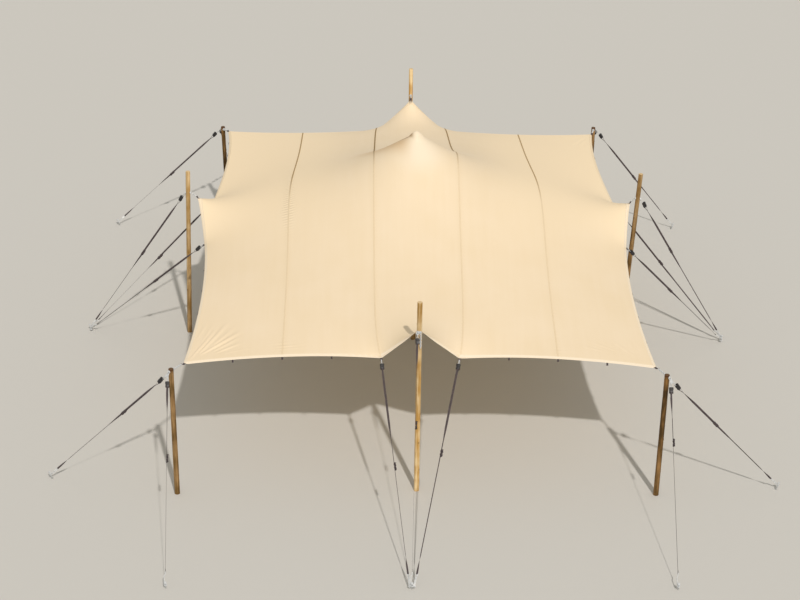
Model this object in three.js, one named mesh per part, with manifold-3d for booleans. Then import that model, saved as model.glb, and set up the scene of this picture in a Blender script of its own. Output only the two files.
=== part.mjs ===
// Stretch tent: a membrane of five sewn cloth panels, held up by a centre pole and eight edge
// poles, and held down by twenty ratchet straps that run to twelve ground stakes.
// Millimetres, +Z up, origin at the foot of the centre pole, front of the tent towards -Y.
import * as THREE from 'three';
import { mergeVertices } from 'three/addons/utils/BufferGeometryUtils.js';
import Module from 'manifold-3d';

const wasm = await Module();
wasm.setup();

// Cloth, as it is cut and sewn
const PANEL_WIDTH = 1500;
const PANEL_COUNT = 5;
const CLOTH_LENGTH = 10000;
const CLOTH_THICKNESS = 12;
const SEAM_GAP = 0.4;
const HALF_WIDTH = (PANEL_WIDTH * PANEL_COUNT) / 2;
const HALF_LENGTH = CLOTH_LENGTH / 2;

// Where the stretched membrane is held, right and back half measured from the centre
const START_HEIGHT = 2650;
const PEAK_HEIGHT = 4450;
const CAP_RADIUS = 150;
const CAP_STEP = 62;
const EDGE_TIE = {
  across: { front: 660, back: 700 }, along: 5100, z: { front: 2440, back: 2370 }, cut: PANEL_WIDTH / 2,
};
const SIDE_TIE = { across: 3980, along: 950, z: 2450, cut: 1000, followTip: 0.6 };

// How stiff the hem is against the cloth, in plan and in height, and the sewn peak patch
const HEM_IN_PLAN = { front: 60, back: 22, side: 60 };
const HEM_IN_HEIGHT = { front: 15, back: 40, side: 15 };
const HEM_STEP = 250;
const PATCH_LEAST = 170;
const PATCH_REACH = 1000;
const PATCH_FADE = 3000;

// Timber poles, as foot, lean of the top, height and the height of the chain round them
const POLE_RADIUS = { foot: 47, top: 42 };
const POLE_SIDES = 12;
const POLE_CAP = { radius: 85, length: 70, sink: 10, sides: 24 };
const SINK = 60;
const OVER_CAP = 200;
const POLES = {
  front: { foot: [-35, -5400], lean: [0, 0], height: 3650, chain: 3110, hook: [-0.58, -0.81] },
  back: { foot: [0, 5330], lean: [0, 10], height: 3700, chain: 3100 },
  left: { foot: [-4450, 250], lean: [110, 0], height: 3480, chain: 3040 },
  right: { foot: [4140, 150], lean: [160, 0], height: 3530, chain: 3020 },
  front_left: { foot: [-4130, -5520], lean: [10, 0], height: 2450, chain: 2410 },
  front_right: { foot: [4080, -5510], lean: [10, 0], height: 2375, chain: 2335 },
  back_left: { foot: [-4040, 5370], lean: [-60, 20], height: 2310, chain: 2260 },
  back_right: { foot: [4020, 5370], lean: [10, 20], height: 2350, chain: 2300 },
};

// Tips of the membrane, drawn up to the poles
const TIPS = {
  front: [-36, -5270, 3050],
  back: [0, 5195, 3050],
  left: [-4160, 220, 2955],
  right: [4125, 150, 2930],
  front_left: [-3970, -5145, 2335],
  front_right: [3970, -5145, 2300],
  back_left: [-3965, 5120, 2325],
  back_right: [3965, 5140, 2300],
};

// Steel stakes, by the ground point where each pin goes in and the way that it leans
const STAKES = {
  front: { at: [-160, -8200], away: [0, -1], ties: true },
  back: { at: [0, 7950], away: [0, 1], ties: true },
  left: { at: [-6390, 280], away: [-1, 0], ties: true },
  right: { at: [6100, -60], away: [1, 0], ties: true },
  front_left_front: { at: [-4050, -8200], away: [0, -1] },
  front_left_side: { at: [-6330, -5080], away: [-1, 0] },
  front_right_front: { at: [4060, -8200], away: [0, -1] },
  front_right_side: { at: [6180, -5340], away: [1, 0] },
  back_left_back: { at: [-4200, 8150], away: [0, 1] },
  back_left_side: { at: [-6470, 5210], away: [-1, 0] },
  back_right_back: { at: [4160, 8150], away: [0, 1] },
  back_right_side: { at: [5890, 5170], away: [1, 0] },
};
const PIN = { radius: 14, height: 150, lean: 0.32, head: 24, headHeight: 14, sides: 8 };
const CROSSBAR = { radius: 9, reach: 62, z: 62, sides: 6, tie: 39 };
const STRAP_SEAT = 88;

// Chain, hooks and webbing
const BAR = 10;
const LINK = { length: 82, width: 44, overlap: 1.6 };
const COLLAR_BAR = 14;
const CLEARANCE = 0.35;
const LOOP = { width: 46, depth: 22, corner: 44, tip: 40, inside: 22, longFrom: 250 };
const PLATE = { width: 66, depth: 12, length: 128, past: 14, hole: 16, apart: 29 };
const HEM_LOOP = { width: 42, depth: 22, length: 76, past: 22 };
const EYE = { width: 30, depth: 34, length: 44, past: 22 };
const HOOK = { width: 22, depth: 18, length: 88 };
const RATCHET = { width: 54, depth: 44, length: 112 };
const UPPER_WEB = { width: 38, depth: 8 };
const JOINT = { width: 42, depth: 20, length: 200 };
const LOWER_WEB = { width: 26, depth: 6 };
const END_LOOP = { width: 34, depth: 18, length: 70 };
const FOOT_HOOK = { width: 34, depth: 18, length: 160, past: 20 };
const INTO = 6;

const CLOTH = new THREE.MeshStandardMaterial({ color: '#EFD8B4', roughness: 0.8, metalness: 0 });
const TIMBER = new THREE.MeshStandardMaterial({ color: '#9A6A38', roughness: 0.7, metalness: 0 });
const WEBBING = new THREE.MeshStandardMaterial({ color: '#26262A', roughness: 0.85, metalness: 0 });
const STEEL = new THREE.MeshStandardMaterial({ color: '#B9BCBE', roughness: 0.4, metalness: 0.9 });

const tent = new THREE.Group();

function addMesh(name, geometry, material) {
  const mesh = new THREE.Mesh(geometry, material);
  mesh.name = name;
  tent.add(mesh);
}

// Closed meshes to solids and back
function toSolid(geometry) {
  const bare = geometry.clone();
  bare.deleteAttribute('normal');
  bare.deleteAttribute('uv');
  const merged = mergeVertices(bare, 1e-3);
  return new wasm.Manifold(new wasm.Mesh({
    numProp: 3,
    vertProperties: new Float32Array(merged.attributes.position.array),
    triVerts: new Uint32Array(merged.index.array),
  }));
}

function toGeometry(solid) {
  const pieces = solid.decompose();
  const largest = pieces.reduce((a, b) => (a.volume() > b.volume() ? a : b));
  const mesh = largest.getMesh();
  const geometry = new THREE.BufferGeometry();
  geometry.setAttribute('position', new THREE.Float32BufferAttribute(mesh.vertProperties, 3));
  geometry.setIndex(Array.from(mesh.triVerts));
  return geometry;
}

function join(parts) {
  return parts.reduce((whole, part) => whole.add(part));
}

function cut(solid, tools) {
  return tools.reduce((rest, tool) => rest.subtract(tool), solid);
}

const vector = (point) => new THREE.Vector3(...point);

// A frame at a point, with Z along a direction and X level
function frameAt(point, direction) {
  const z = direction.clone().normalize();
  const up = new THREE.Vector3(0, 0, 1);
  const x = Math.abs(z.z) > 0.999 ? new THREE.Vector3(1, 0, 0) : up.cross(z).normalize();
  const y = z.clone().cross(x);
  return new THREE.Matrix4().makeBasis(x, y, z).setPosition(point);
}

function rod(radius, length, sides, matrix) {
  const geometry = new THREE.CylinderGeometry(radius, radius, length, sides);
  geometry.rotateX(Math.PI / 2);
  geometry.translate(0, 0, length / 2);
  return toSolid(geometry.applyMatrix4(matrix));
}

function slab(size, start, matrix) {
  const geometry = new THREE.BoxGeometry(size.width, size.depth, size.length);
  geometry.translate(0, 0, start + size.length / 2);
  return toSolid(geometry.applyMatrix4(matrix));
}

// Lines of the cut cloth across and along, closer together at the centre pole
function clothLines(half, count) {
  const lines = [];
  for (let k = 0; k <= count; k++) lines.push(-half + (2 * half * k) / count);
  for (const s of [1, 2]) lines.push(-s * CAP_STEP, s * CAP_STEP);
  return lines.sort((a, b) => a - b);
}

const ACROSS = clothLines(HALF_WIDTH, PANEL_COUNT * 4);
const ALONG = clothLines(HALF_LENGTH, 32);
const ROWS = ALONG.length;
const nodeAt = (i, j) => i * ROWS + j;

// Index of the line closest to a place on the cut cloth
function nearest(lines, place) {
  const off = lines.map((line) => Math.abs(line - place));
  return off.indexOf(Math.min(...off));
}

// Ties of the edge straps: two on each side of the tent, either side of its tip
const EDGE_TIES = {};
for (const [side, sign] of [['front', -1], ['back', 1]]) {
  for (const [end, way] of [['left', -1], ['right', 1]]) {
    EDGE_TIES[`${side}_${end}`] = {
      stake: side,
      offset: way,
      cut: [way * EDGE_TIE.cut, sign * HALF_LENGTH],
      point: [way * EDGE_TIE.across[side], sign * EDGE_TIE.along, EDGE_TIE.z[side]],
    };
  }
}
for (const [side, sign] of [['left', -1], ['right', 1]]) {
  for (const [end, way] of [['front', -1], ['back', 1]]) {
    EDGE_TIES[`${side}_${end}`] = {
      stake: side,
      offset: way,
      cut: [sign * HALF_WIDTH, way * SIDE_TIE.cut],
      point: [sign * SIDE_TIE.across, way * SIDE_TIE.along + TIPS[side][1] * SIDE_TIE.followTip, SIDE_TIE.z],
    };
  }
}

// Points of the net that are held: tips, strap ties and the rounded cap of the centre pole
function heldPoints() {
  const held = new Map();
  const hold = (u, v, point) => held.set(nodeAt(nearest(ACROSS, u), nearest(ALONG, v)), point);
  hold(-HALF_WIDTH, -HALF_LENGTH, TIPS.front_left);
  hold(HALF_WIDTH, -HALF_LENGTH, TIPS.front_right);
  hold(-HALF_WIDTH, HALF_LENGTH, TIPS.back_left);
  hold(HALF_WIDTH, HALF_LENGTH, TIPS.back_right);
  hold(0, -HALF_LENGTH, TIPS.front);
  hold(0, HALF_LENGTH, TIPS.back);
  hold(-HALF_WIDTH, 0, TIPS.left);
  hold(HALF_WIDTH, 0, TIPS.right);
  for (const tie of Object.values(EDGE_TIES)) hold(...tie.cut, tie.point);
  for (const u of [-CAP_STEP, 0, CAP_STEP]) {
    for (const v of [-CAP_STEP, 0, CAP_STEP]) {
      const drop = (u * u + v * v) / (2 * CAP_RADIUS);
      hold(u, v, [u, v, PEAK_HEIGHT - drop]);
    }
  }
  return held;
}

// Form of the membrane: a net in balance between its held points, solved by relaxation
function stretchedNet() {
  const held = heldPoints();
  const points = [];
  for (const u of ACROSS) {
    for (const v of ALONG) points.push([u, v, START_HEIGHT]);
  }
  for (const [node, point] of held) points[node] = [...point];

  const strings = points.map(() => []);
  const spread = (lines, i) => (lines[Math.min(i + 1, lines.length - 1)] - lines[Math.max(i - 1, 0)]) / 2;
  const addString = (i, j, i2, j2, hemSide) => {
    const along = Math.hypot(ACROSS[i2] - ACROSS[i], ALONG[j2] - ALONG[j]);
    const beside = i2 > i ? spread(ALONG, j) : spread(ACROSS, i);
    const fromPeak = Math.max(PATCH_LEAST, Math.hypot(ACROSS[i] + ACROSS[i2], ALONG[j] + ALONG[j2]) / 2);
    const patch = 1 + (PATCH_REACH / fromPeak) * Math.exp(-fromPeak / PATCH_FADE);
    const cloth = beside / along;
    const hem = HEM_STEP / along;
    const inPlan = hemSide ? HEM_IN_PLAN[hemSide] * hem : cloth;
    const inHeight = hemSide ? HEM_IN_HEIGHT[hemSide] * hem : cloth * patch;
    strings[nodeAt(i, j)].push([nodeAt(i2, j2), inPlan, inHeight]);
    strings[nodeAt(i2, j2)].push([nodeAt(i, j), inPlan, inHeight]);
  };
  for (let i = 0; i < ACROSS.length; i++) {
    const sideHem = i === 0 || i === ACROSS.length - 1 ? 'side' : null;
    for (let j = 0; j < ROWS; j++) {
      const endHem = j === 0 ? 'front' : 'back';
      if (i + 1 < ACROSS.length) addString(i, j, i + 1, j, j === 0 || j === ROWS - 1 ? endHem : null);
      if (j + 1 < ROWS) addString(i, j, i, j + 1, sideHem);
    }
  }

  const passes = 2500;
  const overshoot = 1.9;
  for (let pass = 0; pass < passes; pass++) {
    for (let node = 0; node < points.length; node++) {
      if (held.has(node)) continue;
      for (let axis = 0; axis < 3; axis++) {
        const kind = axis === 2 ? 2 : 1;
        let pull = 0;
        let total = 0;
        for (const string of strings[node]) {
          pull += string[kind] * points[string[0]][axis];
          total += string[kind];
        }
        points[node][axis] += overshoot * (pull / total - points[node][axis]);
      }
    }
  }
  return points.map(vector);
}

const net = stretchedNet();

// Directions in the net at a node: across the panels, along them, and out of the cloth
function netAcross(i, j) {
  const next = net[nodeAt(Math.min(i + 1, ACROSS.length - 1), j)].clone();
  return next.sub(net[nodeAt(Math.max(i - 1, 0), j)]).normalize();
}

function netAlong(i, j) {
  const next = net[nodeAt(i, Math.min(j + 1, ROWS - 1))].clone();
  return next.sub(net[nodeAt(i, Math.max(j - 1, 0))]).normalize();
}

function netNormal(i, j) {
  return netAcross(i, j).cross(netAlong(i, j)).normalize();
}

// A shell over columns first..last of the net, from below its middle surface to above it.
// Its sides and ends are moved out by grow, or in where grow is negative.
function clothShell(first, last, below, above, growSides, growEnds) {
  const lower = [];
  const upper = [];
  const columns = last - first + 1;
  for (let i = first; i <= last; i++) {
    for (let j = 0; j < ROWS; j++) {
      const point = net[nodeAt(i, j)].clone();
      if (i === first) point.addScaledVector(netAcross(i, j), -growSides);
      if (i === last) point.addScaledVector(netAcross(i, j), growSides);
      if (j === 0) point.addScaledVector(netAlong(i, j), -growEnds);
      if (j === ROWS - 1) point.addScaledVector(netAlong(i, j), growEnds);
      const normal = netNormal(i, j);
      lower.push(point.clone().addScaledVector(normal, -below));
      upper.push(point.clone().addScaledVector(normal, above));
    }
  }
  const corners = [...lower, ...upper];
  const top = lower.length;
  const faces = [];
  const quad = (a, b, c, d) => faces.push(a, b, c, a, c, d);
  const at = (c, j) => c * ROWS + j;
  for (let c = 0; c + 1 < columns; c++) {
    for (let j = 0; j + 1 < ROWS; j++) {
      quad(top + at(c, j), top + at(c + 1, j), top + at(c + 1, j + 1), top + at(c, j + 1));
      quad(at(c, j), at(c, j + 1), at(c + 1, j + 1), at(c + 1, j));
    }
  }
  for (let c = 0; c + 1 < columns; c++) {
    quad(at(c, 0), at(c + 1, 0), top + at(c + 1, 0), top + at(c, 0));
    quad(at(c + 1, ROWS - 1), at(c, ROWS - 1), top + at(c, ROWS - 1), top + at(c + 1, ROWS - 1));
  }
  const side = columns - 1;
  for (let j = 0; j + 1 < ROWS; j++) {
    quad(at(0, j), top + at(0, j), top + at(0, j + 1), at(0, j + 1));
    quad(at(side, j), at(side, j + 1), top + at(side, j + 1), top + at(side, j));
  }
  const geometry = new THREE.BufferGeometry();
  const numbers = corners.flatMap((corner) => corner.toArray());
  geometry.setAttribute('position', new THREE.Float32BufferAttribute(numbers, 3));
  geometry.setIndex(faces);
  return geometry;
}

const HALF_CLOTH = CLOTH_THICKNESS / 2;
const PANEL_NAMES = [
  'left_outer_panel', 'left_inner_panel', 'centre_panel', 'right_inner_panel', 'right_outer_panel',
];
PANEL_NAMES.forEach((name, k) => {
  const first = nearest(ACROSS, k * PANEL_WIDTH - HALF_WIDTH);
  const last = nearest(ACROSS, (k + 1) * PANEL_WIDTH - HALF_WIDTH);
  addMesh(name, clothShell(first, last, HALF_CLOTH, HALF_CLOTH, -SEAM_GAP / 2, 0), CLOTH);
});

// The whole cloth, a little larger, to clear what is looped round its edge or stands under it
const lastColumn = ACROSS.length - 1;
const clear = HALF_CLOTH + CLEARANCE;
const clothRoom = toSolid(clothShell(0, lastColumn, clear, clear, CLEARANCE, CLEARANCE));
const overCloth = toSolid(clothShell(0, lastColumn, clear, OVER_CAP, 0, 0));

// Poles
function poleFrame(pole) {
  const foot = new THREE.Vector3(...pole.foot, 0);
  const top = foot.clone().add(new THREE.Vector3(...pole.lean, pole.height));
  return frameAt(foot, top.sub(foot));
}

// A pole's timber, begun below the ground, where it is cut level
function poleSolid(matrix, length, grow) {
  const { top, foot } = POLE_RADIUS;
  const geometry = new THREE.CylinderGeometry(top + grow, foot + grow, length + SINK, POLE_SIDES);
  geometry.rotateX(Math.PI / 2);
  geometry.translate(0, 0, (length - SINK) / 2);
  return toSolid(geometry.applyMatrix4(matrix));
}

// Everything below ground level
const GROUND = toSolid(new THREE.BoxGeometry(30000, 30000, 1000).translate(0, 0, -500));

// The centre pole ends in a round cap that fills the peak of the cloth
const capStart = PEAK_HEIGHT - POLE_CAP.length;
const capFrame = new THREE.Matrix4().makeTranslation(0, 0, capStart - POLE_CAP.sink);
const mast = join([
  poleSolid(new THREE.Matrix4(), capStart, 0),
  rod(POLE_CAP.radius, POLE_CAP.length, POLE_CAP.sides, capFrame),
]);
addMesh('centre_pole', toGeometry(cut(mast, [overCloth, GROUND])), TIMBER);

for (const [name, pole] of Object.entries(POLES)) {
  const solid = poleSolid(poleFrame(pole), pole.height, 0);
  addMesh(`${name}_pole`, toGeometry(cut(solid, [GROUND])), TIMBER);
}

// Chains: a collar round the pole, links to the membrane and a webbing loop round its edge
function chainLink(length, turn, matrix) {
  const ring = new THREE.TorusGeometry((LINK.width - BAR) / 2, BAR / 2, 4, 8);
  const half = (length - LINK.width) / 2;
  const spots = ring.attributes.position;
  for (let k = 0; k < spots.count; k++) {
    const x = spots.getX(k);
    spots.setX(k, x + (Math.abs(x) > 1 ? Math.sign(x) * half : 0));
  }
  ring.rotateY(Math.PI / 2);
  ring.rotateZ(turn);
  return toSolid(ring.applyMatrix4(matrix));
}

// A collar of chain lies round its pole, square to it
function collarFrame(pole) {
  const along = (pole.chain * Math.hypot(...pole.lean, pole.height)) / pole.height;
  return poleFrame(pole).multiply(new THREE.Matrix4().makeTranslation(0, 0, along));
}

function collarRadius(pole) {
  const share = pole.chain / pole.height;
  const timber = POLE_RADIUS.foot + share * (POLE_RADIUS.top - POLE_RADIUS.foot);
  return timber + CLEARANCE + COLLAR_BAR / 2;
}

function collar(pole, grow) {
  const ring = new THREE.TorusGeometry(collarRadius(pole), COLLAR_BAR / 2 + grow, 6, POLE_SIDES);
  return toSolid(ring.applyMatrix4(collarFrame(pole)));
}

// The point on the middle line of a collar's bar that faces a target
function collarPoint(pole, target) {
  const centre = new THREE.Vector3().setFromMatrixPosition(collarFrame(pole));
  const way = target.clone().sub(centre).setZ(0).normalize();
  return centre.addScaledVector(way, collarRadius(pole));
}

// A corner pole's two straps meet in a steel plate, which hangs from the collar between them
function strapPlate(poleName) {
  const pole = POLES[poleName];
  const centre = new THREE.Vector3().setFromMatrixPosition(collarFrame(pole));
  const bottoms = Object.entries(STAKES)
    .filter(([stakeName]) => stakeName.startsWith(`${poleName}_`))
    .map(([, stake]) => stakePoint(stake, 0));
  const middle = new THREE.Vector3();
  for (const bottom of bottoms) middle.add(bottom.clone().sub(centre).setZ(0).normalize());
  const seat = collarPoint(pole, centre.clone().add(middle));
  const way = new THREE.Vector3();
  for (const bottom of bottoms) way.add(bottom.clone().sub(seat).normalize());
  return { seat, way: way.normalize() };
}

for (const [name, pole] of Object.entries(POLES)) {
  const tip = vector(TIPS[name]);
  const start = collarPoint(pole, tip);
  const way = tip.clone().sub(start);
  const reach = way.length();
  way.normalize();
  const loopLength = reach > LOOP.longFrom ? LOOP.corner : LOOP.tip;
  const matrix = frameAt(start, way);
  const chainLength = reach - loopLength + BAR;
  const links = Math.max(1, Math.round(chainLength / (LINK.length - 2 * BAR)));
  const pitch = chainLength / links;
  const parts = [collar(pole, 0)];
  for (let k = 0; k < links; k++) {
    const place = matrix.clone().multiply(new THREE.Matrix4().makeTranslation(0, 0, (k + 0.5) * pitch));
    parts.push(chainLink(pitch + LINK.overlap * BAR, (k % 2) * (Math.PI / 2), place));
  }
  const loop = { width: LOOP.width, depth: LOOP.depth, length: loopLength + LOOP.inside };
  parts.push(slab(loop, reach - loopLength, matrix));
  if (name.includes('_')) {
    const plate = strapPlate(name);
    parts.push(slab(PLATE, -PLATE.past, frameAt(plate.seat, plate.way)));
  }
  const room = poleSolid(poleFrame(pole), pole.height, CLEARANCE);
  addMesh(`${name}_chain`, toGeometry(cut(join(parts), [room, clothRoom])), STEEL);
}

// Stakes: a leaning steel pin with a head, and on the four middle ones a crossbar
function stakeFrame(stake) {
  const foot = new THREE.Vector3(...stake.at, 0);
  const away = new THREE.Vector3(...stake.away, 0);
  const way = new THREE.Vector3(0, 0, 1).addScaledVector(away, PIN.lean).normalize();
  return { foot, away, way };
}

function stakeParts(stake, grow) {
  const { foot, away, way } = stakeFrame(stake);
  const below = foot.clone().addScaledVector(way, -SINK);
  const parts = [rod(PIN.radius + grow, PIN.height + SINK, PIN.sides, frameAt(below, way))];
  const head = foot.clone().addScaledVector(way, PIN.height - PIN.headHeight);
  parts.push(rod(PIN.head + grow, PIN.headHeight, PIN.sides, frameAt(head, way)));
  if (stake.ties) {
    const side = new THREE.Vector3(-away.y, away.x, 0);
    const middle = foot.clone().addScaledVector(way, CROSSBAR.z);
    const start = middle.addScaledVector(side, -CROSSBAR.reach - grow);
    const length = 2 * (CROSSBAR.reach + grow);
    parts.push(rod(CROSSBAR.radius + grow, length, CROSSBAR.sides, frameAt(start, side)));
  }
  return join(parts);
}

for (const [name, stake] of Object.entries(STAKES)) {
  addMesh(`${name}_stake`, toGeometry(cut(stakeParts(stake, 0), [GROUND])), STEEL);
}

// The point on a stake where a strap hooks in: on the pin, or on one side of the crossbar
function stakePoint(stake, offset) {
  const { foot, away, way } = stakeFrame(stake);
  if (offset === 0) return foot.addScaledVector(way, STRAP_SEAT);
  const side = new THREE.Vector3(Math.abs(away.y), Math.abs(away.x), 0);
  return foot.addScaledVector(way, CROSSBAR.z).addScaledVector(side, offset * CROSSBAR.tie);
}

// A strap from a stake up to its seat: foot hook, end loop, lower webbing, joint, upper
// webbing, ratchet, hook and the eye or cloth loop at the top, in one straight line, each a
// little into the next
function strap(bottom, top, head, tools) {
  const way = top.clone().sub(bottom);
  const length = way.length();
  const matrix = frameAt(bottom, way);
  const headStart = length + head.past - head.length;
  const hookStart = headStart - HOOK.length;
  const ratchetStart = hookStart - RATCHET.length;
  const middle = length / 2;
  const loopStart = FOOT_HOOK.length - FOOT_HOOK.past - INTO;
  const webStart = loopStart + END_LOOP.length - INTO;
  const parts = [
    slab(FOOT_HOOK, -FOOT_HOOK.past, matrix),
    slab(END_LOOP, loopStart, matrix),
    slab({ ...LOWER_WEB, length: middle - webStart }, webStart, matrix),
    slab(JOINT, middle - JOINT.length / 2, matrix),
    slab({ ...UPPER_WEB, length: ratchetStart + INTO - middle }, middle, matrix),
    slab({ ...RATCHET, length: RATCHET.length + INTO }, ratchetStart, matrix),
    slab({ ...HOOK, length: HOOK.length + INTO }, hookStart, matrix),
    slab(head, headStart, matrix),
  ];
  return toGeometry(cut(join(parts), tools));
}

// Pole straps hook into the collar, on the side away from the tent. At a corner pole they hook
// side by side into the plate's lower end.
function strapSeat(poleName, bottom) {
  const pole = POLES[poleName];
  if (!poleName.includes('_')) {
    const centre = new THREE.Vector3().setFromMatrixPosition(collarFrame(pole));
    const towards = pole.hook ? centre.add(new THREE.Vector3(...pole.hook, 0)) : bottom;
    return collarPoint(pole, towards);
  }
  const { seat, way } = strapPlate(poleName);
  const across = new THREE.Vector3().setFromMatrixColumn(frameAt(seat, way), 0);
  const side = Math.sign(bottom.clone().sub(seat).dot(across));
  seat.addScaledVector(way, PLATE.length - PLATE.past - PLATE.hole);
  return seat.addScaledVector(across, side * PLATE.apart);
}

function poleStrap(name, poleName, stakeName) {
  const pole = POLES[poleName];
  const stake = STAKES[stakeName];
  const bottom = stakePoint(stake, 0);
  const top = strapSeat(poleName, bottom);
  const tools = [
    stakeParts(stake, CLEARANCE),
    collar(pole, CLEARANCE),
    poleSolid(poleFrame(pole), pole.height, CLEARANCE),
  ];
  if (poleName.includes('_')) {
    const { seat, way } = strapPlate(poleName);
    const size = { ...PLATE, width: PLATE.width + 2 * CLEARANCE, depth: PLATE.depth + 2 * CLEARANCE };
    size.length += CLEARANCE;
    tools.push(slab(size, -PLATE.past, frameAt(seat, way)));
  }
  addMesh(name, strap(bottom, top, EYE, tools), WEBBING);
}

for (const side of ['front', 'back', 'left', 'right']) {
  poleStrap(`${side}_pole_strap`, side, side);
}
for (const end of ['front', 'back']) {
  for (const side of ['left', 'right']) {
    poleStrap(`${end}_${side}_${end}_strap`, `${end}_${side}`, `${end}_${side}_${end}`);
    poleStrap(`${end}_${side}_side_strap`, `${end}_${side}`, `${end}_${side}_side`);
  }
}

// Edge straps pull the hem down between the tips
for (const [name, tie] of Object.entries(EDGE_TIES)) {
  const stake = STAKES[tie.stake];
  const tools = [stakeParts(stake, CLEARANCE), clothRoom];
  const bottom = stakePoint(stake, tie.offset);
  addMesh(`${name}_edge_strap`, strap(bottom, vector(tie.point), HEM_LOOP, tools), WEBBING);
}

export default tent;
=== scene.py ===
import math

import bmesh
import bpy
import numpy as np
from mathutils import Matrix, Vector


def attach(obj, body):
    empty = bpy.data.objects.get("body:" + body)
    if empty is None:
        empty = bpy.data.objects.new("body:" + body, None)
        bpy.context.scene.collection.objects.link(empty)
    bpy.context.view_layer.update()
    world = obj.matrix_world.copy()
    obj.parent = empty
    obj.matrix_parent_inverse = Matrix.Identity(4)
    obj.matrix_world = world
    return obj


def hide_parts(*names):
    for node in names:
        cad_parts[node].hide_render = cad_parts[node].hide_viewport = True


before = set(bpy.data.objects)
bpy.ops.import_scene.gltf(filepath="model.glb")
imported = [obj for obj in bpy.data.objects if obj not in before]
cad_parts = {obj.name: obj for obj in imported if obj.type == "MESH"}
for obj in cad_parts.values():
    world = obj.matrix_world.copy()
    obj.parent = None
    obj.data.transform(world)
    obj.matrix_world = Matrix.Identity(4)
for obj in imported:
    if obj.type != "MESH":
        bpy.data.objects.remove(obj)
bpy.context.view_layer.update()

# Camera. The photograph was taken from a drone in front of the tent, 31 m off and 17 m up.
# The place and angles were solved from the four corners of the cloth, 800 pixels being the
# picture's width.
CAMERA_PLACE = Vector((-0.8144, -31.2866, 17.2248))
LOOKS_DOWN = math.radians(27.6)
LOOKS_RIGHT = math.radians(1.004)
ROLLS = math.radians(0.767)
FOCAL_PIXELS = 1797
PICTURE_WIDTH = 800
SENSOR = 36


def frame_of(place, x, y, z):
    """A frame at a place, from the ways of its X, Y and Z."""
    return Matrix.Translation(place) @ Matrix((x, y, z)).transposed().to_4x4()


forward = Vector((
    math.sin(LOOKS_RIGHT) * math.cos(LOOKS_DOWN),
    math.cos(LOOKS_RIGHT) * math.cos(LOOKS_DOWN),
    -math.sin(LOOKS_DOWN),
))
level = Vector((math.cos(LOOKS_RIGHT), -math.sin(LOOKS_RIGHT), 0))
above = level.cross(forward)
right = level * math.cos(ROLLS) + above * math.sin(ROLLS)
above = above * math.cos(ROLLS) - level * math.sin(ROLLS)
lens = bpy.data.cameras.new("camera")
lens.sensor_width = SENSOR
lens.lens = FOCAL_PIXELS / PICTURE_WIDTH * SENSOR
lens.clip_end = 500
camera = bpy.data.objects.new("camera", lens)
camera.matrix_world = frame_of(CAMERA_PLACE, right, above, -forward)
bpy.context.scene.collection.objects.link(camera)
bpy.context.scene.camera = camera

# Studio. A plain pale floor under one broad sun-like lamp from the front right, 47 degrees up,
# where the sun stood in the photograph, and an even pale sky that fills the shade.
FLOOR_SIZE = 400
FLOOR_COLOUR = "#CDCCC8"
SKY_COLOUR = "#F3F1EA"
SKY_STRENGTH = 0.54
LAMP_COLOUR = "#FFF8F1"
LAMP_STRENGTH = 2.14
LAMP_SPREAD = math.radians(1.5)
LIGHT_TRAVELS = Vector((-0.235, 0.90, -1.0))


def linear(colour):
    """An sRGB hex colour as Blender's linear red, green, blue and alpha."""
    parts = [int(colour[k:k + 2], 16) / 255 for k in (1, 3, 5)]
    return (*(p / 12.92 if p <= 0.04045 else ((p + 0.055) / 1.055) ** 2.4 for p in parts), 1.0)


def add_node(tree, kind, settings, inputs):
    """Adds a node with its settings, and gives each named or numbered input a value or a link."""
    node = tree.nodes.new(kind)
    for name, value in settings.items():
        setattr(node, name, value)
    for name, value in inputs.items():
        if isinstance(value, bpy.types.NodeSocket):
            tree.links.new(value, node.inputs[name])
        else:
            node.inputs[name].default_value = value
    return node


def new_material(name):
    """A material with its node tree and its surface shader."""
    material = bpy.data.materials.new(name)
    material.use_nodes = True
    return material, material.node_tree, material.node_tree.nodes["Principled BSDF"]


bpy.context.scene.view_settings.view_transform = "Standard"
bpy.ops.object.select_all(action="DESELECT")
bpy.ops.mesh.primitive_plane_add(size=FLOOR_SIZE)
floor = bpy.context.object
floor.name = "studio_floor"
floor_paint, _, surface = new_material("matt_floor_paint")
surface.inputs["Base Color"].default_value = linear(FLOOR_COLOUR)
surface.inputs["Roughness"].default_value = 0.9
surface.inputs["Specular IOR Level"].default_value = 0.2
floor.data.materials.append(floor_paint)

lamp = bpy.data.lights.new("sun_lamp", "SUN")
lamp.energy = LAMP_STRENGTH
lamp.angle = LAMP_SPREAD
lamp.color = linear(LAMP_COLOUR)[:3]
lamp_stand = bpy.data.objects.new("sun_lamp", lamp)
lamp_stand.rotation_mode = "QUATERNION"
lamp_stand.rotation_quaternion = LIGHT_TRAVELS.to_track_quat("-Z", "Y")
bpy.context.scene.collection.objects.link(lamp_stand)

sky = bpy.data.worlds.new("pale_sky")
sky.use_nodes = True
sky.node_tree.nodes["Background"].inputs["Color"].default_value = linear(SKY_COLOUR)
sky.node_tree.nodes["Background"].inputs["Strength"].default_value = SKY_STRENGTH
bpy.context.scene.world = sky

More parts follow.
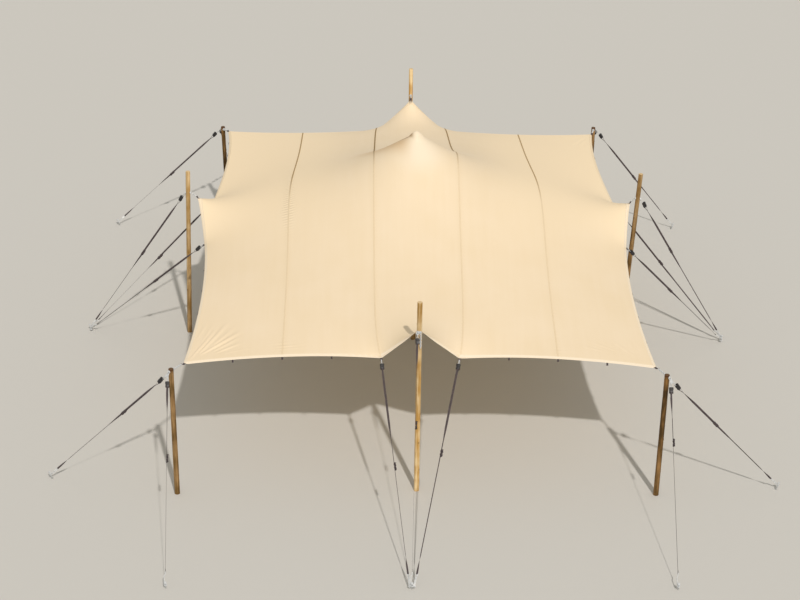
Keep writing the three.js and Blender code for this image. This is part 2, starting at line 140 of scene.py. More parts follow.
# Canopy. One membrane of coated polyester stretch cloth: five panels of 1.5 m, sewn side by side to
# 7.5 x 10 m, drawn over the centre pole, up to eight poles and down to eight straps. Its form is a
# net in balance between those points. Places on it are those of the cut cloth, u across, v along.
CLOTH_WIDTH, CLOTH_LENGTH, CLOTH_THICKNESS = 7.5, 10.0, 0.0024
HALF_WIDTH, HALF_LENGTH, PANEL_WIDTH = CLOTH_WIDTH / 2, CLOTH_LENGTH / 2, 1.5
SEAMS = (-2.25, -0.75, 0.75, 2.25)
NET_STEP = 0.05
START_STRETCH, START_HEIGHT = (1.05, 1.025), 2.7
BALANCE_ROUNDS, BALANCE_ERROR, NOT_NOUGHT = 1200, 1e-6, 1e-30
HEM_STEP = 0.25  # the hem's pulls are those of a net with this step
HEM_IN_PLAN = {"front": 60, "back": 22, "side": 60}
HEM_IN_HEIGHT = {"front": 15, "back": 40, "side": 15}
PATCH_REACH, PATCH_FADE, PATCH_LEAST = 1.0, 3.0, 0.17
PEAK, CAP_RADIUS, CAP_REACH = 4.440, 0.150, 0.105
NECK_DEPTH, NECK_REACH = 0.030, 0.070
TIP_SHOULDER = (0.043, 0.004, 0.010)  # out, back and down from the front tip
TIPS = {
    "front": (-0.036, -5.270, 3.050), "back": (0, 5.195, 3.050),
    "left": (-4.160, 0.220, 2.955), "right": (4.125, 0.150, 2.930),
    "front_left": (-3.970, -5.145, 2.335), "front_right": (3.970, -5.145, 2.300),
    "back_left": (-3.965, 5.120, 2.325), "back_right": (3.965, 5.140, 2.300),
}
TIP_CUTS = {
    "front": (0, -HALF_LENGTH), "back": (0, HALF_LENGTH),
    "left": (-HALF_WIDTH, 0), "right": (HALF_WIDTH, 0),
    "front_left": (-HALF_WIDTH, -HALF_LENGTH), "front_right": (HALF_WIDTH, -HALF_LENGTH),
    "back_left": (-HALF_WIDTH, HALF_LENGTH), "back_right": (HALF_WIDTH, HALF_LENGTH),
}
EDGE_TIES = {}
for side, sign, across, height in (("front", -1, 0.660, 2.440), ("back", 1, 0.700, 2.370)):
    for end, way in (("left", -1), ("right", 1)):
        EDGE_TIES[f"{side}_{end}"] = {
            "stake": side, "way": way, "cut": (way * PANEL_WIDTH / 2, sign * HALF_LENGTH),
            "point": (way * across, sign * 5.100, height),
        }
for side, sign in (("left", -1), ("right", 1)):
    for end, way in (("front", -1), ("back", 1)):
        EDGE_TIES[f"{side}_{end}"] = {
            "stake": side, "way": way, "cut": (sign * HALF_WIDTH, way * 1.0),
            "point": (sign * 3.980, way * 0.950 + 0.6 * TIPS[side][1], 2.450),
        }


def held_points():
    """Net places that the poles, straps and centre pole hold, with where they hold them."""
    held = {TIP_CUTS[name]: TIPS[name] for name in TIPS}
    held.update({tie["cut"]: tie["point"] for tie in EDGE_TIES.values()})
    x, y, z = TIPS["front"]
    out, back, down = TIP_SHOULDER
    for way in (-1, 1):
        held[(way * NET_STEP, -HALF_LENGTH)] = (x + way * out, y + back, z - down)
    near_peak = [k * NET_STEP for k in range(-2, 3)]
    for u in near_peak:
        for v in near_peak:
            if math.hypot(u, v) < CAP_REACH:
                held[(u, v)] = (u, v, PEAK - (u * u + v * v) / (2 * CAP_RADIUS))
    return held


def balance(points, fixed, across, along):
    """Moves the net's free points until the pulls of the strings cancel, by conjugate gradients."""
    load = np.zeros(fixed.shape)
    load[:-1] += across
    load[1:] += across
    load[:, :-1] += along
    load[:, 1:] += along
    load = load[..., None]

    def pull(x):
        out = load * x
        out[:-1] -= across[..., None] * x[1:]
        out[1:] -= across[..., None] * x[:-1]
        out[:, :-1] -= along[..., None] * x[:, 1:]
        out[:, 1:] -= along[..., None] * x[:, :-1]
        return out * ~fixed[..., None]

    left = -pull(points)
    eased = left / load
    way = eased.copy()
    size = (left * eased).sum((0, 1))
    for _ in range(BALANCE_ROUNDS):
        pulled = pull(way)
        step = size / np.maximum((way * pulled).sum((0, 1)), NOT_NOUGHT)
        points = points + step * way
        left = left - step * pulled
        if np.abs(left).max() < BALANCE_ERROR:
            break
        eased = left / load
        new_size = (left * eased).sum((0, 1))
        way = eased + new_size / np.maximum(size, NOT_NOUGHT) * way
        size = new_size
    return points


net_u = np.linspace(-HALF_WIDTH, HALF_WIDTH, round(CLOTH_WIDTH / NET_STEP) + 1)
net_v = np.linspace(-HALF_LENGTH, HALF_LENGTH, round(CLOTH_LENGTH / NET_STEP) + 1)
net = np.zeros((len(net_u), len(net_v), 3))
net[..., 0] = net_u[:, None] * START_STRETCH[0]
net[..., 1] = net_v[None, :] * START_STRETCH[1]
net[..., 2] = START_HEIGHT
net_fixed = np.zeros(net.shape[:2], bool)
for (u, v), point in held_points().items():
    place = round((u + HALF_WIDTH) / NET_STEP), round((v + HALF_LENGTH) / NET_STEP)
    net[place] = point
    net_fixed[place] = True


def patch_stiffness(u, v):
    """How much more the cloth holds its height near the sewn patch over the centre pole."""
    away = np.maximum(PATCH_LEAST, np.hypot(u, v))
    return 1 + PATCH_REACH / away * np.exp(-away / PATCH_FADE)


half_u = (net_u[1:] + net_u[:-1]) / 2
half_v = (net_v[1:] + net_v[:-1]) / 2
for axes, hem, stiff in ((slice(0, 2), HEM_IN_PLAN, False), (slice(2, 3), HEM_IN_HEIGHT, True)):
    strings_across = np.ones((len(half_u), len(net_v)))
    strings_along = np.ones((len(net_u), len(half_v)))
    if stiff:
        strings_across *= patch_stiffness(half_u[:, None], net_v[None, :])
        strings_along *= patch_stiffness(net_u[:, None], half_v[None, :])
    strings_across[:, 0] = hem["front"] * HEM_STEP / NET_STEP
    strings_across[:, -1] = hem["back"] * HEM_STEP / NET_STEP
    strings_along[[0, -1]] = hem["side"] * HEM_STEP / NET_STEP
    net[..., axes] = balance(net[..., axes], net_fixed, strings_across, strings_along)


LINE_GAP, LINE_GAP_MORE = 0.016, 0.090  # at the edge, and what it widens by further in
FOLD_ZONE, FOLD_ZONE_FADE = 0.65, 1.1
POLE_ZONE, POLE_GAP, POLE_GAP_SLOPE = 0.28, 0.024, 0.09  # and how it narrows again at the pole


def cloth_lines(half):
    """Places of the mesh lines: close near the edges for folds, open between, close at the pole."""
    inward = [0.0]
    while inward[-1] < half:
        from_edge, from_middle = inward[-1], half - inward[-1]
        blend = min(1, max(0, (from_edge - FOLD_ZONE) / FOLD_ZONE_FADE))
        gap = LINE_GAP + LINE_GAP_MORE * blend * blend * (3 - 2 * blend)
        pole_gap = POLE_GAP + POLE_GAP_SLOPE * max(0, from_middle - POLE_ZONE)
        inward.append(from_edge + min(gap, pole_gap))
    places = half - np.array(inward) * half / inward[-1]
    places[-1] = 0
    return np.concatenate([-places, places[-2::-1]])


def spline_weights(places, start, step, count):
    """Weights that read a smooth curve through evenly spaced points at the given places."""
    weights = np.zeros((len(places), count))
    for row, place in enumerate(places):
        at = (place - start) / step
        k = min(max(int(math.floor(at)), 0), count - 2)
        t = at - k
        parts = (
            (k - 1, (-t + 2 * t * t - t ** 3) / 2), (k, (2 - 5 * t * t + 3 * t ** 3) / 2),
            (k + 1, (t + 4 * t * t - 3 * t ** 3) / 2), (k + 2, (t ** 3 - t * t) / 2),
        )
        for index, weight in parts:
            if index < 0:
                weights[row, 0] += 2 * weight
                weights[row, 1] -= weight
            elif index >= count:
                weights[row, -1] += 2 * weight
                weights[row, -2] -= weight
            else:
                weights[row, index] += weight
    return weights


cloth_u, cloth_v = cloth_lines(HALF_WIDTH), cloth_lines(HALF_LENGTH)
read_u = spline_weights(cloth_u, -HALF_WIDTH, NET_STEP, len(net_u))
read_v = spline_weights(cloth_v, -HALF_LENGTH, NET_STEP, len(net_v))
form = np.einsum("ai,ijc,bj->abc", read_u, net, read_v)


def cloth_normals(points):
    """Upward normals of a grid of cloth points."""
    normals = np.cross(
        np.gradient(points, cloth_u, axis=0), np.gradient(points, cloth_v, axis=1))
    return normals / np.linalg.norm(normals, axis=-1, keepdims=True)


# Folds: tension pulls the cloth into fine ridges that fan out from its corners. Each fold runs
# from one place on the cut cloth to another, with its width and its height, and widens as it goes.
FOLDS = (
    ((-3.67, -4.92), (-3.36, -4.08), 0.026, 0.0105), ((-3.57, -4.80), (-3.17, -3.90), 0.027, 0.0140),
    ((-3.54, -4.82), (-2.92, -4.20), 0.026, 0.0145), ((-3.36, -4.76), (-2.94, -4.38), 0.021, 0.0075),
    ((-3.30, -4.80), (-2.90, -4.55), 0.022, 0.0100), ((-3.66, -4.40), (-3.55, -3.88), 0.020, 0.0045),
    ((-3.60, -4.60), (-3.42, -3.90), 0.020, 0.0050), ((-3.42, -4.66), (-3.02, -4.02), 0.020, 0.0045),
    ((-3.22, -4.84), (-2.72, -4.72), 0.018, 0.0030),
    ((3.02, -4.72), (2.60, -4.58), 0.020, 0.0035), ((3.20, -4.66), (2.78, -4.44), 0.020, 0.0035),
    ((3.50, -4.80), (3.12, -4.30), 0.022, 0.0040), ((3.60, -4.76), (3.34, -4.10), 0.022, 0.0035),
    ((-3.62, 4.80), (-3.20, 4.10), 0.022, 0.0040), ((-3.52, 4.84), (-2.95, 4.30), 0.022, 0.0040),
    ((-3.66, 4.66), (-3.46, 4.00), 0.022, 0.0030), ((3.62, 4.80), (3.24, 4.05), 0.022, 0.0040),
    ((3.52, 4.84), (2.98, 4.34), 0.022, 0.0035), ((3.66, 4.66), (3.44, 4.05), 0.022, 0.0030),
    ((-2.40, -4.76), (-1.98, -4.70), 0.017, 0.0060), ((-2.30, -4.82), (-1.88, -4.77), 0.016, 0.0045),
    ((-2.52, -4.68), (-2.12, -4.62), 0.016, 0.0030), ((2.10, -4.84), (2.52, -4.76), 0.016, 0.0025),
)
FOLD_WIDTH_AT_START, FOLD_CREST = 0.6, 0.7
HEM_BAND, HEM_DROOP, DROOP_CURVE = 0.052, 0.015, 1.6
DROOP_AT_TIP, DROOP_WHOLE_FROM = 0.2, 0.3
grid_u, grid_v = np.meshgrid(cloth_u, cloth_v, indexing="ij")
rise = np.zeros(grid_u.shape)
for (from_u, from_v), (to_u, to_v), width, height in FOLDS:
    length = math.hypot(to_u - from_u, to_v - from_v)
    way_u, way_v = (to_u - from_u) / length, (to_v - from_v) / length
    share = (((grid_u - from_u) * way_u + (grid_v - from_v) * way_v) / length).clip(0, 1)
    beside = ((grid_v - from_v) * way_u - (grid_u - from_u) * way_v) / (
        width * (FOLD_WIDTH_AT_START + share))
    rise += height * np.sin(math.pi * share ** FOLD_CREST) * (
        1 - beside ** 2) * np.exp(-beside ** 2 / 2)
from_edge = np.minimum(HALF_WIDTH - np.abs(grid_u), HALF_LENGTH - np.abs(grid_v))
from_tip = np.hypot(grid_u, grid_v + HALF_LENGTH)
rise -= HEM_DROOP * np.clip(1 - from_edge / HEM_BAND, 0, 1) ** DROOP_CURVE * np.clip(
    from_tip / DROOP_WHOLE_FROM, DROOP_AT_TIP, 1)
form = form + cloth_normals(form) * rise[..., None]
from_peak = np.hypot(grid_u, grid_v)
form[..., 2] -= NECK_DEPTH * (from_peak / NECK_REACH / 2) ** 2 * np.exp(2 - from_peak / NECK_REACH)
form_normals = cloth_normals(form)


def on_cloth(u, v, lift=0.0):
    """Points at places of the cut cloth, lifted off its middle surface, and the cloth's normals."""
    u, v = np.broadcast_arrays(np.asarray(u, float), np.asarray(v, float))
    i = np.clip(np.searchsorted(cloth_u, u, side="right") - 1, 0, len(cloth_u) - 2)
    j = np.clip(np.searchsorted(cloth_v, v, side="right") - 1, 0, len(cloth_v) - 2)
    a = ((u - cloth_u[i]) / (cloth_u[i + 1] - cloth_u[i]))[..., None]
    b = ((v - cloth_v[j]) / (cloth_v[j + 1] - cloth_v[j]))[..., None]

    def read(grid):
        return (grid[i, j] * (1 - a) * (1 - b) + grid[i + 1, j] * a * (1 - b)
                + grid[i, j + 1] * (1 - a) * b + grid[i + 1, j + 1] * a * b)

    normals = read(form_normals)
    normals = normals / np.linalg.norm(normals, axis=-1, keepdims=True)
    return read(form) + normals * np.asarray(lift)[..., None], normals


CORNER_ROUND = 0.080


def round_corner(u, v):
    """Moves places near a corner of the cut so that the corner is rounded off."""
    x = (np.abs(u) - (HALF_WIDTH - CORNER_ROUND)) / CORNER_ROUND
    y = (np.abs(v) - (HALF_LENGTH - CORNER_ROUND)) / CORNER_ROUND
    near = (x > 0) & (y > 0)
    x2 = np.where(near, x * np.sqrt(np.clip(1 - y * y / 2, 0, 1)), x)
    y2 = np.where(near, y * np.sqrt(np.clip(1 - x * x / 2, 0, 1)), y)
    return (np.sign(u) * (HALF_WIDTH - CORNER_ROUND + x2 * CORNER_ROUND),
            np.sign(v) * (HALF_LENGTH - CORNER_ROUND + y2 * CORNER_ROUND))


def keep(mesh, name, values):
    """Keeps a number or a vector for each vertex of a mesh, for its material to read."""
    values = np.asarray(values, np.float32)
    kind, field = ("FLOAT", "value") if values.ndim == 1 else ("FLOAT_VECTOR", "vector")
    mesh.attributes.new(name, kind, "POINT").data.foreach_set(field, values.ravel())


def pick(piece):
    """Selects one piece and nothing else."""
    bpy.ops.object.select_all(action="DESELECT")
    piece.select_set(True)
    bpy.context.view_layer.objects.active = piece


def mesh_piece(name, points, faces, places, material, angle=40):
    """A piece from points and faces, with each point's place on the cloth, web or metal kept."""
    mesh = bpy.data.meshes.new(name)
    mesh.from_pydata([tuple(p) for p in points], [], faces)
    keep(mesh, "place", places)
    mesh.materials.append(material)
    piece = bpy.data.objects.new(name, mesh)
    bpy.context.scene.collection.objects.link(piece)
    pick(piece)
    bpy.ops.object.shade_smooth_by_angle(angle=math.radians(angle))
    return piece


# Coated polyester stretch cloth: a close matt knit, dyed sand, with a soft bloom at low angles.
# Painted light lifts the colour of the side panels towards the back, a painted highlight lies on
# the front of the peak, and painted shade darkens the peak's left flank and a crease there. It
# puckers along the left outer seam. Its stitches, 0.7 mm apart in the real cloth, are drawn 5 mm
# apart.
CLOTH_COLOUR, CLOTH_DEEPER, CLOTH_SOILED = "#F3E0C2", "#F0DCBB", "#DCC39B"
# Painted light for the side panels towards the back, and a painted highlight for the peak.
CLOTH_PAINTED_LIGHT, CLOTH_PEAK_HIGHLIGHT = "#FBE6C3", "#F3E4CB"
KNIT_MM, PUCKER_MM = 5, 85
# Centre and reach of the painted highlight on the front of the peak.
PEAK_HIGHLIGHT_AT, PEAK_HIGHLIGHT_REACH = (0.06, -0.28, 0), 0.60
CREASE_ACROSS, CREASE_OFF_PEAK = (0.707, 0.707, 0), 0.080
CREASE_PAINTED_SHADE = (  # painted shade: colour, reach to either side, share, and where along u it is whole and ends
    ("#D2A96F", 0.46, 0.66, -0.32, -1.3), ("#94703F", 0.052, 0.8, -0.11, -0.72),
)


def band_scale(mm):
    """Scale of a Wave texture whose bands are that far apart."""
    return 2 * math.pi / (20 * mm / 1000)


def noise_scale(mm):
    """Scale of a Noise texture whose lumps are about that size."""
    return 1000 / mm


def stretch_cloth():
    """Knitted cloth that reads its pattern from the place on the cut cloth."""
    material, tree, surface = new_material("coated_polyester_stretch_cloth")
    place = add_node(tree, "ShaderNodeAttribute", {"attribute_name": "place"}, {}).outputs["Vector"]
    split = add_node(tree, "ShaderNodeSeparateXYZ", {}, {0: place})
    clouds = add_node(tree, "ShaderNodeTexNoise", {}, {
        "Vector": place, "Scale": noise_scale(900), "Detail": 3, "Roughness": 0.5})
    drawn = add_node(tree, "ShaderNodeMapping", {}, {"Vector": place, "Scale": (9, 0.5, 1)})
    streaks = add_node(tree, "ShaderNodeTexNoise", {}, {
        "Vector": drawn.outputs[0], "Scale": 1.0, "Detail": 4, "Roughness": 0.6})
    mixed = add_node(tree, "ShaderNodeMath", {"operation": "MULTIPLY"}, {
        0: clouds.outputs["Fac"], 1: 0.6})
    mixed = add_node(tree, "ShaderNodeMath", {"operation": "MULTIPLY_ADD"}, {
        0: streaks.outputs["Fac"], 1: 0.4, 2: mixed.outputs[0]})
    shade = add_node(tree, "ShaderNodeMapRange", {}, {
        "Value": mixed.outputs[0], "From Min": 0.35, "From Max": 0.65})
    dyed = add_node(tree, "ShaderNodeMix", {"data_type": "RGBA"}, {
        0: shade.outputs[0], 6: linear(CLOTH_COLOUR), 7: linear(CLOTH_DEEPER)})
    near_seam = add_node(tree, "ShaderNodeMath", {"operation": "ADD"}, {
        0: split.outputs[0], 1: PANEL_WIDTH / 2})
    near_seam = add_node(tree, "ShaderNodeMath", {"operation": "PINGPONG"}, {
        0: near_seam.outputs[0], 1: PANEL_WIDTH / 2})
    beside = add_node(tree, "ShaderNodeMapRange", {"interpolation_type": "SMOOTHSTEP"}, {
        "Value": near_seam.outputs[0], "From Min": 0.0, "From Max": 0.10, "To Min": 1, "To Max": 0})
    soil = add_node(tree, "ShaderNodeMath", {"operation": "MULTIPLY"}, {0: beside.outputs[0], 1: 0.10})
    browner = add_node(tree, "ShaderNodeMix", {"data_type": "RGBA"}, {
        0: soil.outputs[0], 6: dyed.outputs[2], 7: linear(CLOTH_SOILED)})
    # Painted light: the side panels are painted paler towards the back, standing in for brighter light
    # there.
    sideways = add_node(tree, "ShaderNodeMath", {"operation": "ABSOLUTE"}, {0: split.outputs[0]})
    sideways = add_node(tree, "ShaderNodeMapRange", {"interpolation_type": "SMOOTHSTEP"}, {
        "Value": sideways.outputs[0], "From Min": 0.8, "From Max": 2.0})
    backwards = add_node(tree, "ShaderNodeMapRange", {"interpolation_type": "SMOOTHSTEP"}, {
        "Value": split.outputs[1], "From Min": -3.0, "From Max": 1.2})
    painted_light_share = add_node(tree, "ShaderNodeMath", {"operation": "MULTIPLY"}, {
        0: sideways.outputs[0], 1: backwards.outputs[0]})
    painted_lighter = add_node(tree, "ShaderNodeMix", {"data_type": "RGBA"}, {
        0: painted_light_share.outputs[0], 6: browner.outputs[2], 7: linear(CLOTH_PAINTED_LIGHT)})
    # Painted highlight: the cloth is painted paler around a point just in front of the peak.
    from_peak = add_node(tree, "ShaderNodeVectorMath", {"operation": "DISTANCE"}, {
        0: place, 1: PEAK_HIGHLIGHT_AT})
    paler = add_node(tree, "ShaderNodeMapRange", {"interpolation_type": "SMOOTHSTEP"}, {
        "Value": from_peak.outputs["Value"], "From Min": 0.1, "From Max": PEAK_HIGHLIGHT_REACH, "To Min": 1,
        "To Max": 0})
    highlighted = add_node(tree, "ShaderNodeMix", {"data_type": "RGBA"}, {
        0: paler.outputs[0], 6: painted_lighter.outputs[2], 7: linear(CLOTH_PEAK_HIGHLIGHT)})
    # Painted shade: a broad tan over the left flank of the peak and a dark line along a crease there.
    crease = add_node(tree, "ShaderNodeVectorMath", {"operation": "DOT_PRODUCT"}, {
        0: place, 1: CREASE_ACROSS})
    crease = add_node(tree, "ShaderNodeMath", {"operation": "ADD"}, {
        0: crease.outputs["Value"], 1: CREASE_OFF_PEAK})
    crease = add_node(tree, "ShaderNodeMath", {"operation": "ABSOLUTE"}, {0: crease.outputs[0]})
    shade_painted = highlighted
    for shade_colour, reach, share, whole_from, ends_at in CREASE_PAINTED_SHADE:
        begins = add_node(tree, "ShaderNodeMapRange", {"interpolation_type": "SMOOTHSTEP"}, {
            "Value": split.outputs[0], "From Min": whole_from, "From Max": -0.03, "To Min": 1,
            "To Max": 0})
        near = add_node(tree, "ShaderNodeMapRange", {"interpolation_type": "SMOOTHSTEP"}, {
            "Value": crease.outputs[0], "From Min": 0.1 * reach, "From Max": reach,
            "To Min": share, "To Max": 0})
        ends = add_node(tree, "ShaderNodeMapRange", {"interpolation_type": "SMOOTHSTEP"}, {
            "Value": split.outputs[0], "From Min": ends_at, "From Max": ends_at * 0.35})
        near = add_node(tree, "ShaderNodeMath", {"operation": "MULTIPLY"}, {
            0: near.outputs[0], 1: begins.outputs[0]})
        near = add_node(tree, "ShaderNodeMath", {"operation": "MULTIPLY"}, {
            0: near.outputs[0], 1: ends.outputs[0]})
        shade_painted = add_node(tree, "ShaderNodeMix", {"data_type": "RGBA"}, {
            0: near.outputs[0], 6: shade_painted.outputs[2], 7: linear(shade_colour)})
    tree.links.new(shade_painted.outputs[2], surface.inputs["Base Color"])
    gathered = add_node(tree, "ShaderNodeTexWave", {"bands_direction": "Y"}, {
        "Vector": place, "Scale": band_scale(PUCKER_MM), "Distortion": 1.5, "Detail": 1})
    near_left = add_node(tree, "ShaderNodeMath", {"operation": "SUBTRACT"}, {
        0: split.outputs[0], 1: SEAMS[0]})
    near_left = add_node(tree, "ShaderNodeMath", {"operation": "ABSOLUTE"}, {0: near_left.outputs[0]})
    near_left = add_node(tree, "ShaderNodeMapRange", {"interpolation_type": "SMOOTHSTEP"}, {
        "Value": near_left.outputs[0], "From Min": 0.02, "From Max": 0.20, "To Min": 1, "To Max": 0})
    half_way = add_node(tree, "ShaderNodeMath", {"operation": "ABSOLUTE"}, {0: split.outputs[1]})
    half_way = add_node(tree, "ShaderNodeMapRange", {"interpolation_type": "SMOOTHSTEP"}, {
        "Value": half_way.outputs[0], "From Min": 0.6, "From Max": 1.8, "To Min": 5.0, "To Max": 0})
    more = add_node(tree, "ShaderNodeMath", {"operation": "MULTIPLY_ADD"}, {
        0: near_left.outputs[0], 1: half_way.outputs[0], 2: beside.outputs[0]})
    pucker = add_node(tree, "ShaderNodeMath", {"operation": "MULTIPLY"}, {
        0: gathered.outputs["Fac"], 1: more.outputs[0]})
    knit_across = add_node(tree, "ShaderNodeTexWave", {"bands_direction": "X"}, {
        "Vector": place, "Scale": band_scale(KNIT_MM)})
    knit_along = add_node(tree, "ShaderNodeTexWave", {"bands_direction": "Y"}, {
        "Vector": place, "Scale": band_scale(KNIT_MM)})
    knit = add_node(tree, "ShaderNodeMath", {"operation": "MULTIPLY"}, {
        0: knit_across.outputs["Fac"], 1: knit_along.outputs["Fac"]})
    knit_bump = add_node(tree, "ShaderNodeBump", {}, {
        "Height": knit.outputs[0], "Strength": 0.25, "Distance": 0.0006})
    pucker_bump = add_node(tree, "ShaderNodeBump", {}, {
        "Height": pucker.outputs[0], "Strength": 0.7, "Distance": 0.003,
        "Normal": knit_bump.outputs[0]})
    tree.links.new(pucker_bump.outputs[0], surface.inputs["Normal"])
    surface.inputs["Roughness"].default_value = 0.62
    surface.inputs["Specular IOR Level"].default_value = 0.45
    surface.inputs["Sheen Weight"].default_value = 0.12
    surface.inputs["Sheen Roughness"].default_value = 0.5
    surface.inputs["Sheen Tint"].default_value = linear("#FFF1DC")
    return material


rows = len(cloth_v)
round_u, round_v = round_corner(grid_u, grid_v)
canopy_points, _ = on_cloth(round_u, round_v)
canopy_faces = [
    (i * rows + j, (i + 1) * rows + j, (i + 1) * rows + j + 1, i * rows + j + 1)
    for i in range(len(cloth_u) - 1) for j in range(rows - 1)
]
canopy = mesh_piece(
    "canopy", canopy_points.reshape(-1, 3), canopy_faces,
    np.stack([round_u, round_v, 0 * round_u], axis=-1).reshape(-1, 3), stretch_cloth())
wall = canopy.modifiers.new("wall", "SOLIDIFY")
wall.thickness = CLOTH_THICKNESS
wall.offset = 0
bpy.ops.object.modifier_apply(modifier=wall.name)
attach(canopy, "root")
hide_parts("left_outer_panel", "left_inner_panel", "centre_panel",
            "right_inner_panel", "right_outer_panel")

# Seams. Neighbouring panels overlap by 26 mm and are sewn down with two rows of brown thread,
# on cloth that is coloured browner towards the back, more so on the inner seams.
STITCH_MM, THREAD_HALF, THREAD_FADE = 12, 0.0010, 0.0022
SEAM_OUTLINE = (  # across the seam and above the cloth's middle, in metres
    (-0.0135, -0.0002), (-0.0125, 0.0022), (-0.0080, 0.0034), (-0.0030, 0.0040),
    (0.0030, 0.0040), (0.0080, 0.0034), (0.0125, 0.0022), (0.0135, -0.0002),
)


def turn_faces_out():
    """Makes the faces of the active piece point outwards."""
    bpy.ops.object.mode_set(mode="EDIT")
    bpy.ops.mesh.select_all(action="SELECT")
    bpy.ops.mesh.normals_make_consistent(inside=False)
    bpy.ops.object.mode_set(mode="OBJECT")


def sewn_strip(name, outline, cut_u, cut_v, across_u, across_v, closed, material):
    """A strip along places of the cloth: an outline across it, carried from place to place."""
    points, places = [], []
    run = np.concatenate([[0], np.cumsum(np.hypot(np.diff(cut_u), np.diff(cut_v)))])
    for offset, lift in outline:
        ring, _ = on_cloth(cut_u + across_u * offset, cut_v + across_v * offset, lift)
        points.append(ring)
        places.append(np.stack([np.full(len(run), offset), run, np.asarray(cut_v)], axis=-1))
    points, places = np.stack(points, axis=1), np.stack(places, axis=1)
    count, sides = points.shape[:2]
    faces = []
    for k in range(count if closed else count - 1):
        a, b = k * sides, (k + 1) % count * sides
        faces += [(a + s, a + (s + 1) % sides, b + (s + 1) % sides, b + s) for s in range(sides)]
    if not closed:
        faces += [tuple(range(sides))[::-1], tuple((count - 1) * sides + s for s in range(sides))]
    piece = mesh_piece(name, points.reshape(-1, 3), faces, places.reshape(-1, 3), material, 50)
    turn_faces_out()
    return piece


def sewn_cloth(name, colour, browner, thread, rows_at, browner_from, browner_to):
    """Folded cloth with rows of stitches at the given distances across it, in millimetres."""
    material, tree, surface = new_material(name)
    place = add_node(tree, "ShaderNodeAttribute", {"attribute_name": "place"}, {}).outputs["Vector"]
    split = add_node(tree, "ShaderNodeSeparateXYZ", {}, {0: place})
    stitch = add_node(tree, "ShaderNodeTexWave", {"bands_direction": "Y"}, {
        "Vector": place, "Scale": band_scale(STITCH_MM)})
    sewn = None
    for row in rows_at:
        off = add_node(tree, "ShaderNodeMath", {"operation": "SUBTRACT"}, {
            0: split.outputs[0], 1: row / 1000})
        off = add_node(tree, "ShaderNodeMath", {"operation": "ABSOLUTE"}, {0: off.outputs[0]})
        line = add_node(tree, "ShaderNodeMapRange", {}, {
            "Value": off.outputs[0], "From Min": THREAD_HALF, "From Max": THREAD_FADE,
            "To Min": 1, "To Max": 0})
        sewn = line if sewn is None else add_node(tree, "ShaderNodeMath", {"operation": "MAXIMUM"}, {
            0: sewn.outputs[0], 1: line.outputs[0]})
    dashes = add_node(tree, "ShaderNodeMapRange", {}, {
        "Value": stitch.outputs["Fac"], "From Min": 0.1, "From Max": 0.4})
    sewn = add_node(tree, "ShaderNodeMath", {"operation": "MULTIPLY"}, {
        0: sewn.outputs[0], 1: dashes.outputs[0]})
    # The cloth is coloured browner towards the back.
    handled = add_node(tree, "ShaderNodeMapRange", {}, {
        "Value": split.outputs[2], "From Min": browner_from, "From Max": browner_to})
    cloth = add_node(tree, "ShaderNodeMix", {"data_type": "RGBA"}, {
        0: handled.outputs[0], 6: linear(colour), 7: linear(browner)})
    dyed = add_node(tree, "ShaderNodeMix", {"data_type": "RGBA"}, {
        0: sewn.outputs[0], 6: cloth.outputs[2], 7: linear(thread)})
    tree.links.new(dyed.outputs[2], surface.inputs["Base Color"])
    knit = add_node(tree, "ShaderNodeTexNoise", {}, {
        "Vector": place, "Scale": noise_scale(6), "Detail": 2})
    raised = add_node(tree, "ShaderNodeMath", {"operation": "MULTIPLY_ADD"}, {
        0: knit.outputs["Fac"], 1: 0.4, 2: sewn.outputs[0]})
    bump = add_node(tree, "ShaderNodeBump", {}, {
        "Height": raised.outputs[0], "Strength": 0.6, "Distance": 0.001})
    tree.links.new(bump.outputs[0], surface.inputs["Normal"])
    surface.inputs["Roughness"].default_value = 0.85
    surface.inputs["Specular IOR Level"].default_value = 0.25
    return material


outer_seam_cloth = sewn_cloth(
    "sewn_seam_cloth_outer", "#EFDCBC", "#B0946A", "#C2A579", (-7, 7), -0.3, 0.9)
inner_seam_cloth = sewn_cloth(
    "sewn_seam_cloth_handled", "#EFDCBC", "#94794F", "#C2A579", (-7, 7), -0.3, 0.9)
seam_names = ("left_outer_seam", "left_inner_seam", "right_inner_seam", "right_outer_seam")
seam_v = cloth_v[np.abs(cloth_v) < HALF_LENGTH - HEM_BAND + 0.008]
for name, seam_u in zip(seam_names, SEAMS):
    seam = sewn_strip(
        name, SEAM_OUTLINE, np.full(len(seam_v), seam_u), seam_v, 1.0, 0.0, False,
        inner_seam_cloth if "inner" in name else outer_seam_cloth)
    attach(seam, "root")

# Hem. The edge is folded under and sewn down over a cord of webbing, a band 52 mm wide and
# 6 mm thick that curls down and catches the light, with two rows of thread.
HEM_OUTLINE = (  # inwards from the cut edge and above the cloth's middle, in metres
    (0.0520, 0.0004), (0.0500, 0.0026), (0.0080, 0.0034), (0.0010, 0.0026), (-0.0025, 0.0),
    (0.0010, -0.0026), (0.0080, -0.0034), (0.0500, -0.0026), (0.0520, -0.0004),
)
perimeter = (
    [(u, -HALF_LENGTH, 0, 1) for u in cloth_u[:-1]]
    + [(HALF_WIDTH, v, -1, 0) for v in cloth_v[:-1]]
    + [(u, HALF_LENGTH, 0, -1) for u in cloth_u[:0:-1]]
    + [(-HALF_WIDTH, v, 1, 0) for v in cloth_v[:0:-1]]
)
perimeter = np.array(perimeter, float)
edge_u, edge_v = round_corner(perimeter[:, 0], perimeter[:, 1])
step_u = np.roll(edge_u, -1) - np.roll(edge_u, 1)
step_v = np.roll(edge_v, -1) - np.roll(edge_v, 1)
step = np.hypot(step_u, step_v)
hem_cloth = sewn_cloth(
    "folded_hem_cloth", "#F5E7D0", "#F0DDBE", "#D2BA93", (12, 44), -2.0, 3.5)
hem = sewn_strip(
    "hem", HEM_OUTLINE, edge_u, edge_v, -step_v / step, step_u / step, True, hem_cloth)
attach(hem, "root")

